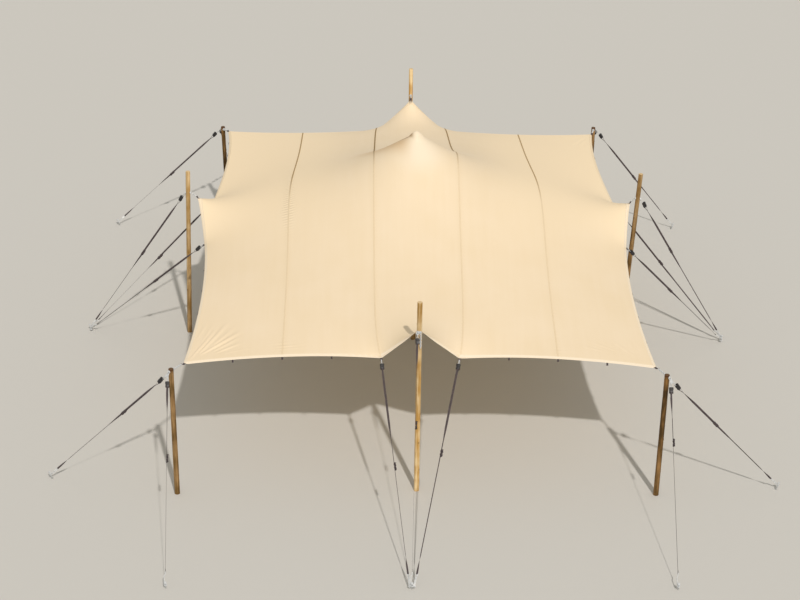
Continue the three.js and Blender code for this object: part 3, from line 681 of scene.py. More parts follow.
# Timber poles. Peeled softwood rounds about 90 mm thick, sawn square at the top and set on the
# ground, with branch knots, a slight natural bend and drying marks, oiled to honey and brown.
POLE_FOOT, POLE_TOP, POLE_SIDES, POLE_RING = 0.047, 0.042, 32, 0.045
RIM_INSET, HEART_INSET, RIM_BEVEL = 0.010, 0.014, 0.004
SINK, TAPER_BELOW, GROUND_GAP = 0.060, 0.1, 0.0005  # modelled on into the ground, then cut off
KNOT_FIRST, KNOT_GAP, KNOT_SIZE = (0.25, 0.30), (0.22, 0.45), (0.010, 0.007)  # least, and added
KNOT_RISE, KNOT_BELOW_TOP, KNOT_DARK = 0.0035, 0.12, 0.6
BEND_LENGTH, BEND_REACH = 0.28, 0.005
POLES = {
    "front": {
        "foot": (-0.035, -5.400), "lean": (0, 0), "height": 3.650, "chain": 3.110,
        "hook": (-0.58, -0.81)},
    "back": {"foot": (0, 5.330), "lean": (0, 0.010), "height": 3.700, "chain": 3.100},
    "left": {"foot": (-4.450, 0.250), "lean": (0.110, 0), "height": 3.480, "chain": 3.040},
    "right": {"foot": (4.140, 0.150), "lean": (0.160, 0), "height": 3.530, "chain": 3.020},
    "front_left": {
        "foot": (-4.130, -5.520), "lean": (0.010, 0), "height": 2.450, "chain": 2.410},
    "front_right": {
        "foot": (4.080, -5.510), "lean": (0.010, 0), "height": 2.375, "chain": 2.335},
    "back_left": {
        "foot": (-4.040, 5.370), "lean": (-0.060, 0.020), "height": 2.310, "chain": 2.260},
    "back_right": {
        "foot": (4.020, 5.370), "lean": (0.010, 0.020), "height": 2.350, "chain": 2.300},
}
# The left pole's darker foot is partly painted shade, where it stands in the canopy's shadow.
POLE_TONES = {  # at the foot and at the top, from pale honey, 0, to red brown, 1
    "front": (0.00, 0.34), "back": (0.05, 0.05), "left": (0.75, 0.26), "right": (1.00, 0.66),
    "front_left": (0.80, 0.82), "front_right": (0.88, 0.95), "back_left": (0.88, 0.90),
    "back_right": (0.84, 0.86), "centre": (0.50, 0.50),
}


def frame_at(point, direction):
    """A frame at a point, with Z along a direction and X level."""
    z = Vector(direction).normalized()
    x = Vector((1, 0, 0)) if abs(z.z) > 0.9999 else Vector((0, 0, 1)).cross(z).normalized()
    return frame_of(point, x, z.cross(x), z)


def start_from(primitive, scale=(1, 1, 1), **settings):
    """Adds a primitive by itself, at its size and place, and opens it to be shaped."""
    bpy.ops.object.select_all(action="DESELECT")
    primitive(**settings)
    piece = bpy.context.object
    piece.scale = scale
    bpy.ops.object.transform_apply(location=True, rotation=True, scale=True)
    bpy.ops.object.mode_set(mode="EDIT")
    return piece


def choose(kind, test):
    """In edit mode, selects the vertices, edges or faces whose middle passes a test."""
    bpy.ops.mesh.select_mode(type=kind)
    bpy.ops.mesh.select_all(action="DESELECT")
    mesh = bmesh.from_edit_mesh(bpy.context.object.data)
    for part in {"VERT": mesh.verts, "EDGE": mesh.edges, "FACE": mesh.faces}[kind]:
        corners = [part] if kind == "VERT" else part.verts
        middle = sum((corner.co for corner in corners), Vector()) / len(corners)
        part.select_set(test(part, middle))
    mesh.select_flush_mode()
    bmesh.update_edit_mesh(bpy.context.object.data)


def vertex_places(mesh):
    """The places of a mesh's vertices, a row for each."""
    places = np.zeros(len(mesh.vertices) * 3, np.float32)
    mesh.vertices.foreach_get("co", places)
    return places.reshape(-1, 3)


def keep_timber_marks(mesh, tones, dark, sawn):
    """Keeps where each vertex lies on a piece of timber, before it is moved, and what is there."""
    places = vertex_places(mesh)
    heights = places[:, 2]
    keep(mesh, "place", places)
    keep(mesh, "tone", np.interp(heights, (0, heights.max()), tones))
    keep(mesh, "pattern", np.full(len(places), tones[0]))
    keep(mesh, "knot", dark)
    keep(mesh, "sawn", sawn)


def put_in_place(piece, matrix):
    """Moves a finished piece to its place and leaves its object at the origin."""
    pick(piece)
    piece.matrix_world = matrix
    bpy.ops.object.transform_apply(location=True, rotation=True, scale=True)


def cut_at_ground():
    """Cuts the active piece off level, just above the ground, and closes the cut."""
    bpy.ops.object.mode_set(mode="EDIT")
    bpy.ops.mesh.select_all(action="SELECT")
    bpy.ops.mesh.bisect(
        plane_co=(0, 0, GROUND_GAP), plane_no=(0, 0, 1), clear_inner=True, use_fill=True)
    bpy.ops.object.mode_set(mode="OBJECT")


def timber_material():
    """Oiled softwood: long grain, dark knots and drying marks, rings on the sawn ends."""
    material, tree, surface = new_material("oiled_softwood_round")
    place = add_node(tree, "ShaderNodeAttribute", {"attribute_name": "place"}, {}).outputs["Vector"]
    tone = add_node(tree, "ShaderNodeAttribute", {"attribute_name": "tone"}, {}).outputs["Fac"]
    pattern = add_node(tree, "ShaderNodeAttribute", {"attribute_name": "pattern"}, {}).outputs["Fac"]
    shift = add_node(tree, "ShaderNodeCombineXYZ", {}, {0: pattern, 1: pattern, 2: pattern})
    shifted = add_node(tree, "ShaderNodeVectorMath", {"operation": "MULTIPLY_ADD"}, {
        0: shift.outputs[0], 1: (13, 29, 47), 2: place}).outputs[0]
    long_grain = add_node(tree, "ShaderNodeMapping", {}, {
        "Vector": shifted, "Scale": (1, 1, 0.05)}).outputs[0]
    grain = add_node(tree, "ShaderNodeTexNoise", {}, {
        "Vector": long_grain, "Scale": noise_scale(9), "Detail": 4, "Roughness": 0.65})
    broad = add_node(tree, "ShaderNodeTexNoise", {}, {
        "Vector": long_grain, "Scale": noise_scale(34), "Detail": 2, "Roughness": 0.5})
    patches = add_node(tree, "ShaderNodeTexNoise", {}, {
        "Vector": shifted, "Scale": noise_scale(420), "Detail": 2, "Roughness": 0.5})
    pale = add_node(tree, "ShaderNodeMix", {"data_type": "RGBA"}, {
        0: tone, 6: linear("#F8E1B2"), 7: linear("#8E622A")})
    dark = add_node(tree, "ShaderNodeMix", {"data_type": "RGBA"}, {
        0: tone, 6: linear("#C99B52"), 7: linear("#301F06")})
    share = add_node(tree, "ShaderNodeMapRange", {}, {
        "Value": broad.outputs["Fac"], "From Min": 0.36, "From Max": 0.66})
    fine = add_node(tree, "ShaderNodeMapRange", {}, {
        "Value": grain.outputs["Fac"], "From Min": 0.40, "From Max": 0.62, "To Max": 0.45})
    share = add_node(tree, "ShaderNodeMath", {"operation": "MULTIPLY_ADD"}, {
        0: share.outputs[0], 1: 0.65, 2: fine.outputs[0]})
    patch = add_node(tree, "ShaderNodeMapRange", {}, {
        "Value": patches.outputs["Fac"], "From Min": 0.38, "From Max": 0.64, "To Min": -0.22,
        "To Max": 0.48})
    share = add_node(tree, "ShaderNodeMath", {"operation": "ADD", "use_clamp": True}, {
        0: share.outputs[0], 1: patch.outputs[0]})
    wood = add_node(tree, "ShaderNodeMix", {"data_type": "RGBA"}, {
        0: share.outputs[0], 6: pale.outputs[2], 7: dark.outputs[2]})
    knot = add_node(tree, "ShaderNodeAttribute", {"attribute_name": "knot"}, {}).outputs["Fac"]
    knotted = add_node(tree, "ShaderNodeMix", {"data_type": "RGBA"}, {
        0: knot, 6: wood.outputs[2], 7: linear("#43220F")})
    sawn = add_node(tree, "ShaderNodeAttribute", {"attribute_name": "sawn"}, {}).outputs["Fac"]
    rings = add_node(tree, "ShaderNodeTexWave", {"wave_type": "RINGS", "rings_direction": "Z"}, {
        "Vector": place, "Scale": band_scale(6), "Distortion": 2.0, "Detail": 2})
    end_wood = add_node(tree, "ShaderNodeMix", {"data_type": "RGBA"}, {
        0: rings.outputs["Fac"], 6: linear("#C9A878"), 7: linear("#E8D2A8")})
    whole = add_node(tree, "ShaderNodeMix", {"data_type": "RGBA"}, {
        0: sawn, 6: knotted.outputs[2], 7: end_wood.outputs[2]})
    tree.links.new(whole.outputs[2], surface.inputs["Base Color"])
    dull = add_node(tree, "ShaderNodeMapRange", {}, {
        "Value": grain.outputs["Fac"], "To Min": 0.50, "To Max": 0.78})
    tree.links.new(dull.outputs[0], surface.inputs["Roughness"])
    bump = add_node(tree, "ShaderNodeBump", {}, {
        "Height": grain.outputs["Fac"], "Strength": 0.5, "Distance": 0.0015})
    tree.links.new(bump.outputs[0], surface.inputs["Normal"])
    surface.inputs["Specular IOR Level"].default_value = 0.25
    return material


softwood = timber_material()
knot_draw = np.random.default_rng(7)


def drawn(least, more):
    """A random length: the least, and a share of what may be added."""
    return least + more * knot_draw.random()


def timber_pole(name, foot, axis, length, stained=False):
    """One pole: a tapered round with knots, a slight bend and a sawn top, pale or stained."""
    pole = start_from(
        bpy.ops.mesh.primitive_cone_add, vertices=POLE_SIDES,
        radius1=POLE_FOOT * (1 + SINK / length * TAPER_BELOW), radius2=POLE_TOP,
        depth=length + SINK, location=(0, 0, (length - SINK) / 2))
    pole.name = pole.data.name = name
    choose("EDGE", lambda edge, middle: abs(edge.verts[0].co.z - edge.verts[1].co.z) > length / 2)
    bpy.ops.mesh.subdivide(number_cuts=round(length / POLE_RING))
    choose("FACE", lambda face, middle: middle.z > length - 0.001)
    bpy.ops.mesh.inset(thickness=RIM_INSET)
    bpy.ops.mesh.inset(thickness=HEART_INSET)
    choose("EDGE", lambda edge, middle: middle.z > length - 0.001 and all(
        vertex.co.xy.length > POLE_TOP - 0.001 for vertex in edge.verts))
    bpy.ops.mesh.bevel(offset=RIM_BEVEL, segments=2, affect="EDGES")
    knots, height = [], drawn(*KNOT_FIRST)
    while height < length - KNOT_BELOW_TOP:
        turn = knot_draw.random() * 2 * math.pi
        knots.append((turn, height, drawn(*KNOT_SIZE)))
        height += drawn(*KNOT_GAP)
    for turn, height, size in knots:
        radius = POLE_FOOT + (POLE_TOP - POLE_FOOT) * height / length
        place = Vector((math.cos(turn) * radius, math.sin(turn) * radius, height))
        choose("FACE", lambda face, middle: (middle - place).length < size + 0.022)
        bpy.ops.mesh.subdivide(number_cuts=3)
        choose("VERT", lambda vertex, middle: (middle - place).length < size * 0.8)
        out = Vector((math.cos(turn), math.sin(turn), 0))
        bpy.ops.transform.translate(
            value=out * KNOT_RISE, use_proportional_edit=True, proportional_size=size * 1.8,
            proportional_edit_falloff="SMOOTH")
    bpy.ops.object.mode_set(mode="OBJECT")
    places = vertex_places(pole.data)
    dark = np.zeros(len(places), np.float32)
    for turn, height, size in knots:
        around = np.arctan2(places[:, 1], places[:, 0]) - turn
        around = np.abs((around + math.pi) % (2 * math.pi) - math.pi) * POLE_FOOT
        away = np.hypot(around, (places[:, 2] - height) * 0.8) / size
        dark = np.maximum(dark, np.clip(1.3 - away, 0, 1) * KNOT_DARK)
    if stained:
        dark = np.maximum(dark, np.clip((places[:, 2] - length) / 0.03 + 1.8, 0, 0.9))
    sawn = (places[:, 2] > length - 0.0002) * (0.1 if stained else 1.0)
    keep_timber_marks(pole.data, POLE_TONES[name.removesuffix("_pole_timber")], dark, sawn)
    pole.data.materials.append(softwood)
    put_in_place(pole, frame_at(foot, axis))
    lumps = bpy.data.textures.new(f"{name}_lumps", "CLOUDS")
    lumps.noise_scale = BEND_LENGTH
    bend = pole.modifiers.new("bend", "DISPLACE")
    bend.texture = lumps
    bend.texture_coords = "LOCAL"
    bend.strength = BEND_REACH
    bend.mid_level = 0.5
    bpy.ops.object.modifier_apply(modifier=bend.name)
    cut_at_ground()
    bpy.ops.object.shade_smooth_by_angle(angle=math.radians(40))
    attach(pole, "root")
    return pole


def pole_line(pole):
    """A pole's foot and the way that it leans, as vectors."""
    return Vector((*pole["foot"], 0)), Vector((*pole["lean"], pole["height"]))


for name, pole in POLES.items():
    foot, axis = pole_line(pole)
    timber = timber_pole(f"{name}_pole_timber", foot, axis, axis.length, "_" in name)
    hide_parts(f"{name}_pole")

# Centre pole. A round like the others, under a turned hardwood mushroom head that spreads the
# push of the pole into the peak of the cloth.
MAST_HEAD_START, MAST_HEAD_RADIUS, MAST_HEAD_THICK, MAST_HEAD_LAP = 4.338, 0.085, 0.030, 0.007
HEAD_STEPS = (  # how much narrower and higher each turned step is than the last
    (0.006, 0.012), (0.010, 0.012), (0.014, 0.010), (0.018, 0.008), (0.018, 0.004),
)
mast = timber_pole(
    "centre_pole_timber", Vector((0, 0, 0)), Vector((0, 0, 1)), MAST_HEAD_START)
mast_head = start_from(
    bpy.ops.mesh.primitive_cylinder_add, vertices=40, radius=MAST_HEAD_RADIUS,
    depth=MAST_HEAD_THICK, location=(0, 0, MAST_HEAD_START + MAST_HEAD_THICK / 2 - MAST_HEAD_LAP))
mast_head.name = mast_head.data.name = "centre_pole_head"
choose("FACE", lambda face, middle: face.normal.z > 0.9)
for narrower, higher in HEAD_STEPS:
    bpy.ops.mesh.inset(thickness=narrower)
    bpy.ops.transform.translate(value=(0, 0, higher))
choose("EDGE", lambda edge, middle: middle.z < MAST_HEAD_START and all(
    abs(vertex.co.z - MAST_HEAD_START + MAST_HEAD_LAP) < 1e-4 for vertex in edge.verts))
bpy.ops.mesh.bevel(offset=0.005, segments=3, affect="EDGES")
bpy.ops.object.mode_set(mode="OBJECT")
unmarked = np.zeros(len(mast_head.data.vertices))
keep_timber_marks(mast_head.data, (0.9, 0.9), unmarked, unmarked)
mast_head.data.materials.append(softwood)
bpy.ops.object.shade_smooth_by_angle(angle=math.radians(50))
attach(mast_head, "root")
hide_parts("centre_pole")

# Chains. A few links of galvanised 12 mm short-link chain run from an eye bolt through the pole to
# the tip of the cloth, where the last link holds a loop of black webbing. The loop's two plies
# are sewn flat under the cloth's reinforced tip.
LINK_WIRE, LINK_LENGTH, LINK_WIDTH = 0.0060, 0.056, 0.037
LINK_PITCH = LINK_LENGTH - 4 * LINK_WIRE
EYE_SEAT, EYE_RING, EYE_WIRE = 0.00735, 0.0205, 0.0070
EYE_FAR = EYE_RING + 0.014
SPARE_CHAIN = 0.250
TIP_WEB_WIDTH, TIP_WEB_THICK, TIP_WEB_SEWN = 0.046, 0.0028, (0.150, 0.110, 0.075)
UNDER_CLOTH, SECOND_PLY, SECOND_PLY_AT_EDGE = -0.0062, 0.0034, 0.0035
LOOP_OUT = {"corner": 0.044, "tip": 0.040}


def galvanised_steel(name, colour, darker, roughness):
    """Zinc-coated steel: bright, with the coat's mottled grain and a little dulling in patches."""
    material, tree, surface = new_material(name)
    place = add_node(tree, "ShaderNodeAttribute", {"attribute_name": "place"}, {}).outputs["Vector"]
    spangle = add_node(tree, "ShaderNodeTexVoronoi", {}, {"Vector": place, "Scale": noise_scale(7)})
    dulling = add_node(tree, "ShaderNodeTexNoise", {}, {
        "Vector": place, "Scale": noise_scale(25), "Detail": 3})
    mixed = add_node(tree, "ShaderNodeMath", {"operation": "MULTIPLY_ADD"}, {
        0: spangle.outputs["Color"], 1: 0.4, 2: dulling.outputs["Fac"]})
    share = add_node(tree, "ShaderNodeMapRange", {}, {
        "Value": mixed.outputs[0], "From Min": 0.4, "From Max": 0.95})
    tint = add_node(tree, "ShaderNodeMix", {"data_type": "RGBA"}, {
        0: share.outputs[0], 6: linear(colour), 7: linear(darker)})
    tree.links.new(tint.outputs[2], surface.inputs["Base Color"])
    rough = add_node(tree, "ShaderNodeMapRange", {}, {
        "Value": share.outputs[0], "To Min": roughness, "To Max": roughness + 0.2})
    tree.links.new(rough.outputs[0], surface.inputs["Roughness"])
    bump = add_node(tree, "ShaderNodeBump", {}, {
        "Height": spangle.outputs["Distance"], "Strength": 0.15, "Distance": 0.0004})
    tree.links.new(bump.outputs[0], surface.inputs["Normal"])
    surface.inputs["Metallic"].default_value = 0.35
    return material


def webbing_weave(name, colour, paler):
    """Woven polyester webbing, black, lifted to a purple grey as painted sheen of the sun, with paler
    patches of wear: ribs along it, a twill across, with painted shade between them.
    """
    material, tree, surface = new_material(name)
    place = add_node(tree, "ShaderNodeAttribute", {"attribute_name": "place"}, {}).outputs["Vector"]
    ribs = add_node(tree, "ShaderNodeTexWave", {"bands_direction": "X"}, {
        "Vector": place, "Scale": band_scale(5)})
    twill = add_node(tree, "ShaderNodeTexWave", {"bands_direction": "DIAGONAL"}, {
        "Vector": place, "Scale": band_scale(8)})
    woven = add_node(tree, "ShaderNodeMath", {"operation": "MULTIPLY_ADD"}, {
        0: twill.outputs["Fac"], 1: 0.5, 2: ribs.outputs["Fac"]})
    wear = add_node(tree, "ShaderNodeTexNoise", {}, {
        "Vector": place, "Scale": noise_scale(120), "Detail": 4, "Roughness": 0.6})
    shade = add_node(tree, "ShaderNodeMapRange", {}, {
        "Value": wear.outputs["Fac"], "From Min": 0.35, "From Max": 0.7})
    dyed = add_node(tree, "ShaderNodeMix", {"data_type": "RGBA"}, {
        0: shade.outputs[0], 6: linear(colour), 7: linear(paler)})
    # Painted shade in the weave: the colour is darker in the grooves between ribs and twill.
    dark = add_node(tree, "ShaderNodeMapRange", {}, {
        "Value": woven.outputs[0], "To Min": 0.7, "To Max": 1.1})
    shaded = add_node(tree, "ShaderNodeVectorMath", {"operation": "SCALE"}, {
        0: dyed.outputs[2], "Scale": dark.outputs[0]})
    tree.links.new(shaded.outputs[0], surface.inputs["Base Color"])
    bump = add_node(tree, "ShaderNodeBump", {}, {
        "Height": woven.outputs[0], "Strength": 0.6, "Distance": 0.0007})
    tree.links.new(bump.outputs[0], surface.inputs["Normal"])
    surface.inputs["Roughness"].default_value = 0.72
    surface.inputs["Sheen Weight"].default_value = 0.15
    surface.inputs["Sheen Roughness"].default_value = 0.4
    return material


zinc = galvanised_steel("galvanised_steel", "#F6F8F9", "#C4C8CB", 0.34)
web_black = webbing_weave("black_polyester_webbing", "#3D3538", "#584C4D")


def take_model(piece):
    """Keeps a modelled part's points, faces and finishes, and clears the part away."""
    mesh = piece.data
    model = (vertex_places(mesh), [tuple(face.vertices) for face in mesh.polygons],
             [face.material_index for face in mesh.polygons])
    bpy.data.objects.remove(piece)
    return model


def placed(points, matrix):
    """Points turned and moved by a matrix."""
    turn = np.array(matrix)
    return points @ turn[:3, :3].T + turn[:3, 3]


def joined(meshes):
    """Several meshes as one: each is its points, its faces and its points' places."""
    faces, start = [], 0
    for points, own_faces, _ in meshes:
        faces += [tuple(start + corner for corner in face) for face in own_faces]
        start += len(points)
    return (np.concatenate([points for points, _, _ in meshes]), faces,
            np.concatenate([places for _, _, places in meshes]))


def assemble(name, parts, materials, angle=40):
    """A piece made of copies of modelled parts, each with its own place and turn."""
    copies = [(placed(points, matrix), faces, points) for (points, faces, _), matrix in parts]
    piece = mesh_piece(name, *joined(copies), materials[0], angle)
    for material in materials[1:]:
        piece.data.materials.append(material)
    piece.data.polygons.foreach_set(
        "material_index", [finish for (_, _, finishes), _ in parts for finish in finishes])
    return piece


def band(path, across, width, thick, closed=False):
    """Webbing along a path, with its width along the given ways: points, faces and places."""
    path, across = np.array(path, float), np.array(across, float)
    if closed:
        along = np.roll(path, -1, axis=0) - np.roll(path, 1, axis=0)
    else:
        along = np.gradient(path, axis=0)
    along = along / np.linalg.norm(along, axis=1, keepdims=True)
    across = across - (across * along).sum(1, keepdims=True) * along
    across = across / np.linalg.norm(across, axis=1, keepdims=True)
    out = np.cross(along, across)
    run = np.concatenate([[0], np.cumsum(np.linalg.norm(np.diff(path, axis=0), axis=1))])
    half, edge = width / 2, min(thick, 0.002)
    outline = ((-half, 0), (-half + edge, -thick / 2), (0, -thick / 2), (half - edge, -thick / 2),
               (half, 0), (half - edge, thick / 2), (0, thick / 2), (-half + edge, thick / 2))
    rings = np.stack([path + x * across + y * out for x, y in outline], axis=1)
    places = np.stack([np.stack([np.full(len(run), x), run, np.full(len(run), y)], axis=1)
                       for x, y in outline], axis=1)
    count, sides = len(path), len(outline)
    faces = []
    for k in range(count if closed else count - 1):
        a, b = k * sides, (k + 1) % count * sides
        faces += [(a + s, b + s, b + (s + 1) % sides, a + (s + 1) % sides) for s in range(sides)]
    if not closed:
        faces += [tuple(range(sides)), tuple((count - 1) * sides + s for s in range(sides))[::-1]]
    return rings.reshape(-1, 3), faces, places.reshape(-1, 3)


def webbing_piece(name, bands):
    """One piece from several bands of webbing."""
    piece = mesh_piece(name, *joined(bands), web_black, 50)
    turn_faces_out()
    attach(piece, "root")
    return piece


link = start_from(
    bpy.ops.mesh.primitive_torus_add, major_radius=LINK_WIDTH / 2 - LINK_WIRE,
    minor_radius=LINK_WIRE, major_segments=12, minor_segments=6)
for side in (-1, 1):
    choose("VERT", lambda vertex, middle: middle.x * side > 0.001)
    bpy.ops.transform.translate(value=(side * (LINK_LENGTH - LINK_WIDTH) / 2, 0, 0))
bpy.ops.object.mode_set(mode="OBJECT")
link_model = take_model(link)


def chain_level(pole):
    """The point on a pole's middle line level with its chain, and the pole's radius there."""
    foot, axis = pole_line(pole)
    share = pole["chain"] / pole["height"]
    return foot + axis * share, POLE_FOOT + (POLE_TOP - POLE_FOOT) * share


def level_way(start, end):
    """The level way from one point towards another."""
    return Vector((end[0] - start[0], end[1] - start[1], 0)).normalized()


def chain_links(start, end):
    """Places of the links from one point to another, lying flat and standing up by turns."""
    count = round((end - start).length / LINK_PITCH)
    x = (end - start).normalized()
    y = x.cross(Vector((0, 1, 0)) if abs(x.z) > 0.9 else Vector((0, 0, -1))).normalized()
    z = x.cross(y)
    parts = []
    for k in range(count):
        at_link = frame_of(start.lerp(end, (k + 0.5) / count), x, y, z)
        turn = math.radians(80 if k % 2 else -10)
        parts.append((link_model, at_link @ Matrix.Rotation(turn, 4, "X")))
    return parts


def way_in(cut_u, cut_v):
    """The way in from an edge of the cut cloth, square to the edge."""
    if abs(cut_v) == HALF_LENGTH:
        return 0, -math.copysign(1, cut_v)
    return -math.copysign(1, cut_u), 0


for name, pole in POLES.items():
    tip = Vector(TIPS[name])
    centre, radius = chain_level(pole)
    seat = centre + level_way(centre, tip) * (radius + EYE_SEAT)
    out = (seat - tip).normalized()
    loop_end = tip + out * LOOP_OUT["corner" if "_" in name else "tip"]
    links = chain_links(seat - out * (EYE_FAR - EYE_WIRE), loop_end - out * 0.004)
    chain = assemble(f"{name}_chain_links", links, [zinc], 60)
    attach(chain, "root")
    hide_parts(f"{name}_chain")
    cut_u, cut_v = TIP_CUTS[name]
    inward = Vector(way_in(cut_u, cut_v)) if "_" not in name else Vector(
        (-math.copysign(1, cut_u), -math.copysign(1, cut_v))).normalized()
    sewn, normals = [], []
    for inside in TIP_WEB_SEWN:
        point, normal = on_cloth(
            cut_u + inward.x * inside, cut_v + inward.y * inside, UNDER_CLOTH)
        sewn.append(Vector(point))
        normals.append(Vector(normal))
    side = out.cross(normals[-1]).normalized()
    under = side.cross(out).normalized()
    under = under if under.z < 0 else -under
    edge = tip + out * 0.004 - Vector((0, 0, HEM_DROOP + 0.001))
    bend = [loop_end - out * 0.010 + out * 0.008 * math.sin(t) - under * 0.0065 * math.cos(t)
            for t in np.linspace(0, math.pi, 7)]
    upper = sewn + [edge] + bend
    lower = [edge + under * SECOND_PLY_AT_EDGE] + [p + under * SECOND_PLY for p in reversed(sewn)]
    webbing_piece(
        f"{name}_tip_loop", [band(upper + lower, [side] * len(upper + lower), TIP_WEB_WIDTH,
                                  TIP_WEB_THICK)])

# Spare tie loops. Small loops of black webbing, sewn under the hem every 0.75 m with both their
# ends together, to tie walls or lights to.
SPARE_WIDTH, SPARE_THICK, SPARE_DROP, SPARE_ROUND = 0.030, 0.0022, 0.042, 0.006
spare_cuts = [(u, sign * HALF_LENGTH) for sign in (-1, 1) for u in (
    -3.0, -2.25, -1.5, 1.5, 2.25, 3.0)]
spare_cuts += [(sign * HALF_WIDTH, v) for sign in (-1, 1) for v in (
    -4.25, -3.5, -2.75, -2.0, 2.0, 2.75, 3.5, 4.25)]
spare_bands = []
for cut_u, cut_v in spare_cuts:
    in_u, in_v = way_in(cut_u, cut_v)
    inner, normal = on_cloth(cut_u + in_u * 0.045, cut_v + in_v * 0.045, -0.0058)
    edge, _ = on_cloth(cut_u + in_u * 0.012, cut_v + in_v * 0.012, UNDER_CLOTH)
    inner, edge, normal = Vector(inner), Vector(edge), Vector(normal)
    out = (edge - inner).normalized()
    hang = (out * 0.35 + Vector((0, 0, -1))).normalized()
    side = normal.cross(out).normalized()
    beyond = edge + out * 0.020
    flat = side.cross(hang).normalized()
    bend = [beyond + hang * (SPARE_DROP - SPARE_ROUND + SPARE_ROUND * math.sin(t))
            + flat * SPARE_ROUND * math.cos(t) for t in np.linspace(0, math.pi, 7)]
    if (bend[0] - inner).length < (bend[-1] - inner).length:
        bend.reverse()
    path = [inner, edge, beyond] + bend + [
        beyond - normal * 0.004 - out * 0.004, edge - normal * 0.003, inner - normal * 0.003]
    spare_bands.append(band(path, [side] * len(path), SPARE_WIDTH, SPARE_THICK))
webbing_piece("spare_tie_loops", spare_bands)

# Stakes. Forged steel pins, hot-dip galvanised, driven into the ground so that they lean away
# from the tent, with a mushroomed head. The four middle ones take three straps each on a
# crossbar that is welded through the pin.
PIN_RADIUS, PIN_HEIGHT, PIN_LEAN, PIN_HEAD, PIN_HEAD_HEIGHT = 0.014, 0.150, 0.32, 0.024, 0.014
BAR_RADIUS, BAR_REACH, BAR_HEIGHT, BAR_TIE, STRAP_SEAT = 0.009, 0.062, 0.062, 0.039, 0.088
STAKES = {
    "front": {"at": (-0.160, -8.200), "away": (0, -1)},
    "back": {"at": (0, 7.950), "away": (0, 1)},
    "left": {"at": (-6.390, 0.280), "away": (-1, 0)},
    "right": {"at": (6.100, -0.060), "away": (1, 0)},
    "front_left_front": {"at": (-4.050, -8.200), "away": (0, -1)},
    "front_left_side": {"at": (-6.330, -5.080), "away": (-1, 0)},
    "front_right_front": {"at": (4.060, -8.200), "away": (0, -1)},
    "front_right_side": {"at": (6.180, -5.340), "away": (1, 0)},
    "back_left_back": {"at": (-4.200, 8.150), "away": (0, 1)},
    "back_left_side": {"at": (-6.470, 5.210), "away": (-1, 0)},
    "back_right_back": {"at": (4.160, 8.150), "away": (0, 1)},
    "back_right_side": {"at": (5.890, 5.170), "away": (1, 0)},
}


def stake_line(stake):
    """A stake's foot, the way that it leans away from the tent, and the way up its pin."""
    foot, away = Vector((*stake["at"], 0)), Vector((*stake["away"], 0))
    return foot, away, (Vector((0, 0, 1)) + away * PIN_LEAN).normalized()


def stake_pin():
    """The pin: a round bar under a mushroomed, hammered head."""
    neck = PIN_HEIGHT - PIN_HEAD_HEIGHT
    pin = start_from(
        bpy.ops.mesh.primitive_cylinder_add, vertices=20, radius=PIN_RADIUS, depth=neck + SINK,
        location=(0, 0, (neck - SINK) / 2))
    choose("FACE", lambda face, middle: middle.z > neck - 0.0001)
    for scale, rise in ((PIN_HEAD / PIN_RADIUS, 0.0), (1.0, 0.006), (0.92, 0.005), (0.6, 0.003)):
        bpy.ops.mesh.extrude_region_move(TRANSFORM_OT_translate={"value": (0, 0, rise)})
        bpy.ops.transform.resize(
            value=(scale, scale, 1), center_override=(0, 0, neck + rise))
    choose("EDGE", lambda edge, middle: middle.xy.length > PIN_HEAD * 0.9 and all(
        abs(vertex.co.z - neck) < 0.0001 for vertex in edge.verts))
    bpy.ops.mesh.bevel(offset=0.002, segments=2, affect="EDGES")
    bpy.ops.object.mode_set(mode="OBJECT")
    return take_model(pin)


def stake_bar():
    """The crossbar: a round bar with rounded ends and a weld bead on either side of the pin."""
    bar = start_from(
        bpy.ops.mesh.primitive_cylinder_add, vertices=16, radius=BAR_RADIUS,
        depth=2 * BAR_REACH, rotation=(0, math.pi / 2, 0))
    choose("EDGE", lambda edge, middle: abs(middle.x) > BAR_REACH - 0.0001)
    bpy.ops.mesh.bevel(offset=0.003, segments=3, affect="EDGES")
    for side in (-1, 1):
        bpy.ops.mesh.primitive_torus_add(
            major_radius=BAR_RADIUS + 0.001, minor_radius=0.0035, major_segments=16,
            minor_segments=6, location=(side * (PIN_RADIUS + 0.001), 0, 0),
            rotation=(0, math.pi / 2, 0))
    bpy.ops.object.mode_set(mode="OBJECT")
    return take_model(bar)


pin_model, bar_model = stake_pin(), stake_bar()
for name, stake in STAKES.items():
    foot, away, way = stake_line(stake)
    side = Vector((-away.y, away.x, 0))
    at_foot = frame_of(foot, side, way.cross(side), way)
    parts = [(pin_model, at_foot)]
    if "_" not in name:
        parts.append((bar_model, at_foot @ Matrix.Translation((0, 0, BAR_HEIGHT))))
    steel_stake = assemble(f"{name}_ground_stake", parts, [zinc])
    cut_at_ground()
    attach(steel_stake, "root")
    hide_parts(f"{name}_stake")

# Eye bolts and corner plates. Galvanised eye bolts go through each pole, towards the cloth and
# towards the straps. At a corner two straps hook into a three-holed plate, cut from 6 mm steel,
# that hangs on the outer eye. The front pole's third eye holds the spare end of its chain.
PLATE_THICK, PLATE_WIDE, PLATE_NARROW, PLATE_ENDS = 0.006, 0.089, 0.042, (0.0145, 0.1028)
PLATE_HOOK_AT, PLATE_HOOKS_APART = 0.098, 0.029
PLATE_HOLES = ((0, 0.0310, 0.0090), (-0.029, 0.0865, 0.0105), (0.029, 0.0865, 0.0105))
PLATE_CORNER, WASHER_RADIUS, WASHER_THICK, SHANK_REACH = 0.012, 0.021, 0.005, 0.007
SPARE_EYE_WAY = (0.26, -0.966, 0)


def pin_seat(stake):
    """The point on a stake's pin where a strap hooks in."""
    foot, _, way = stake_line(stake)
    return foot + way * STRAP_SEAT


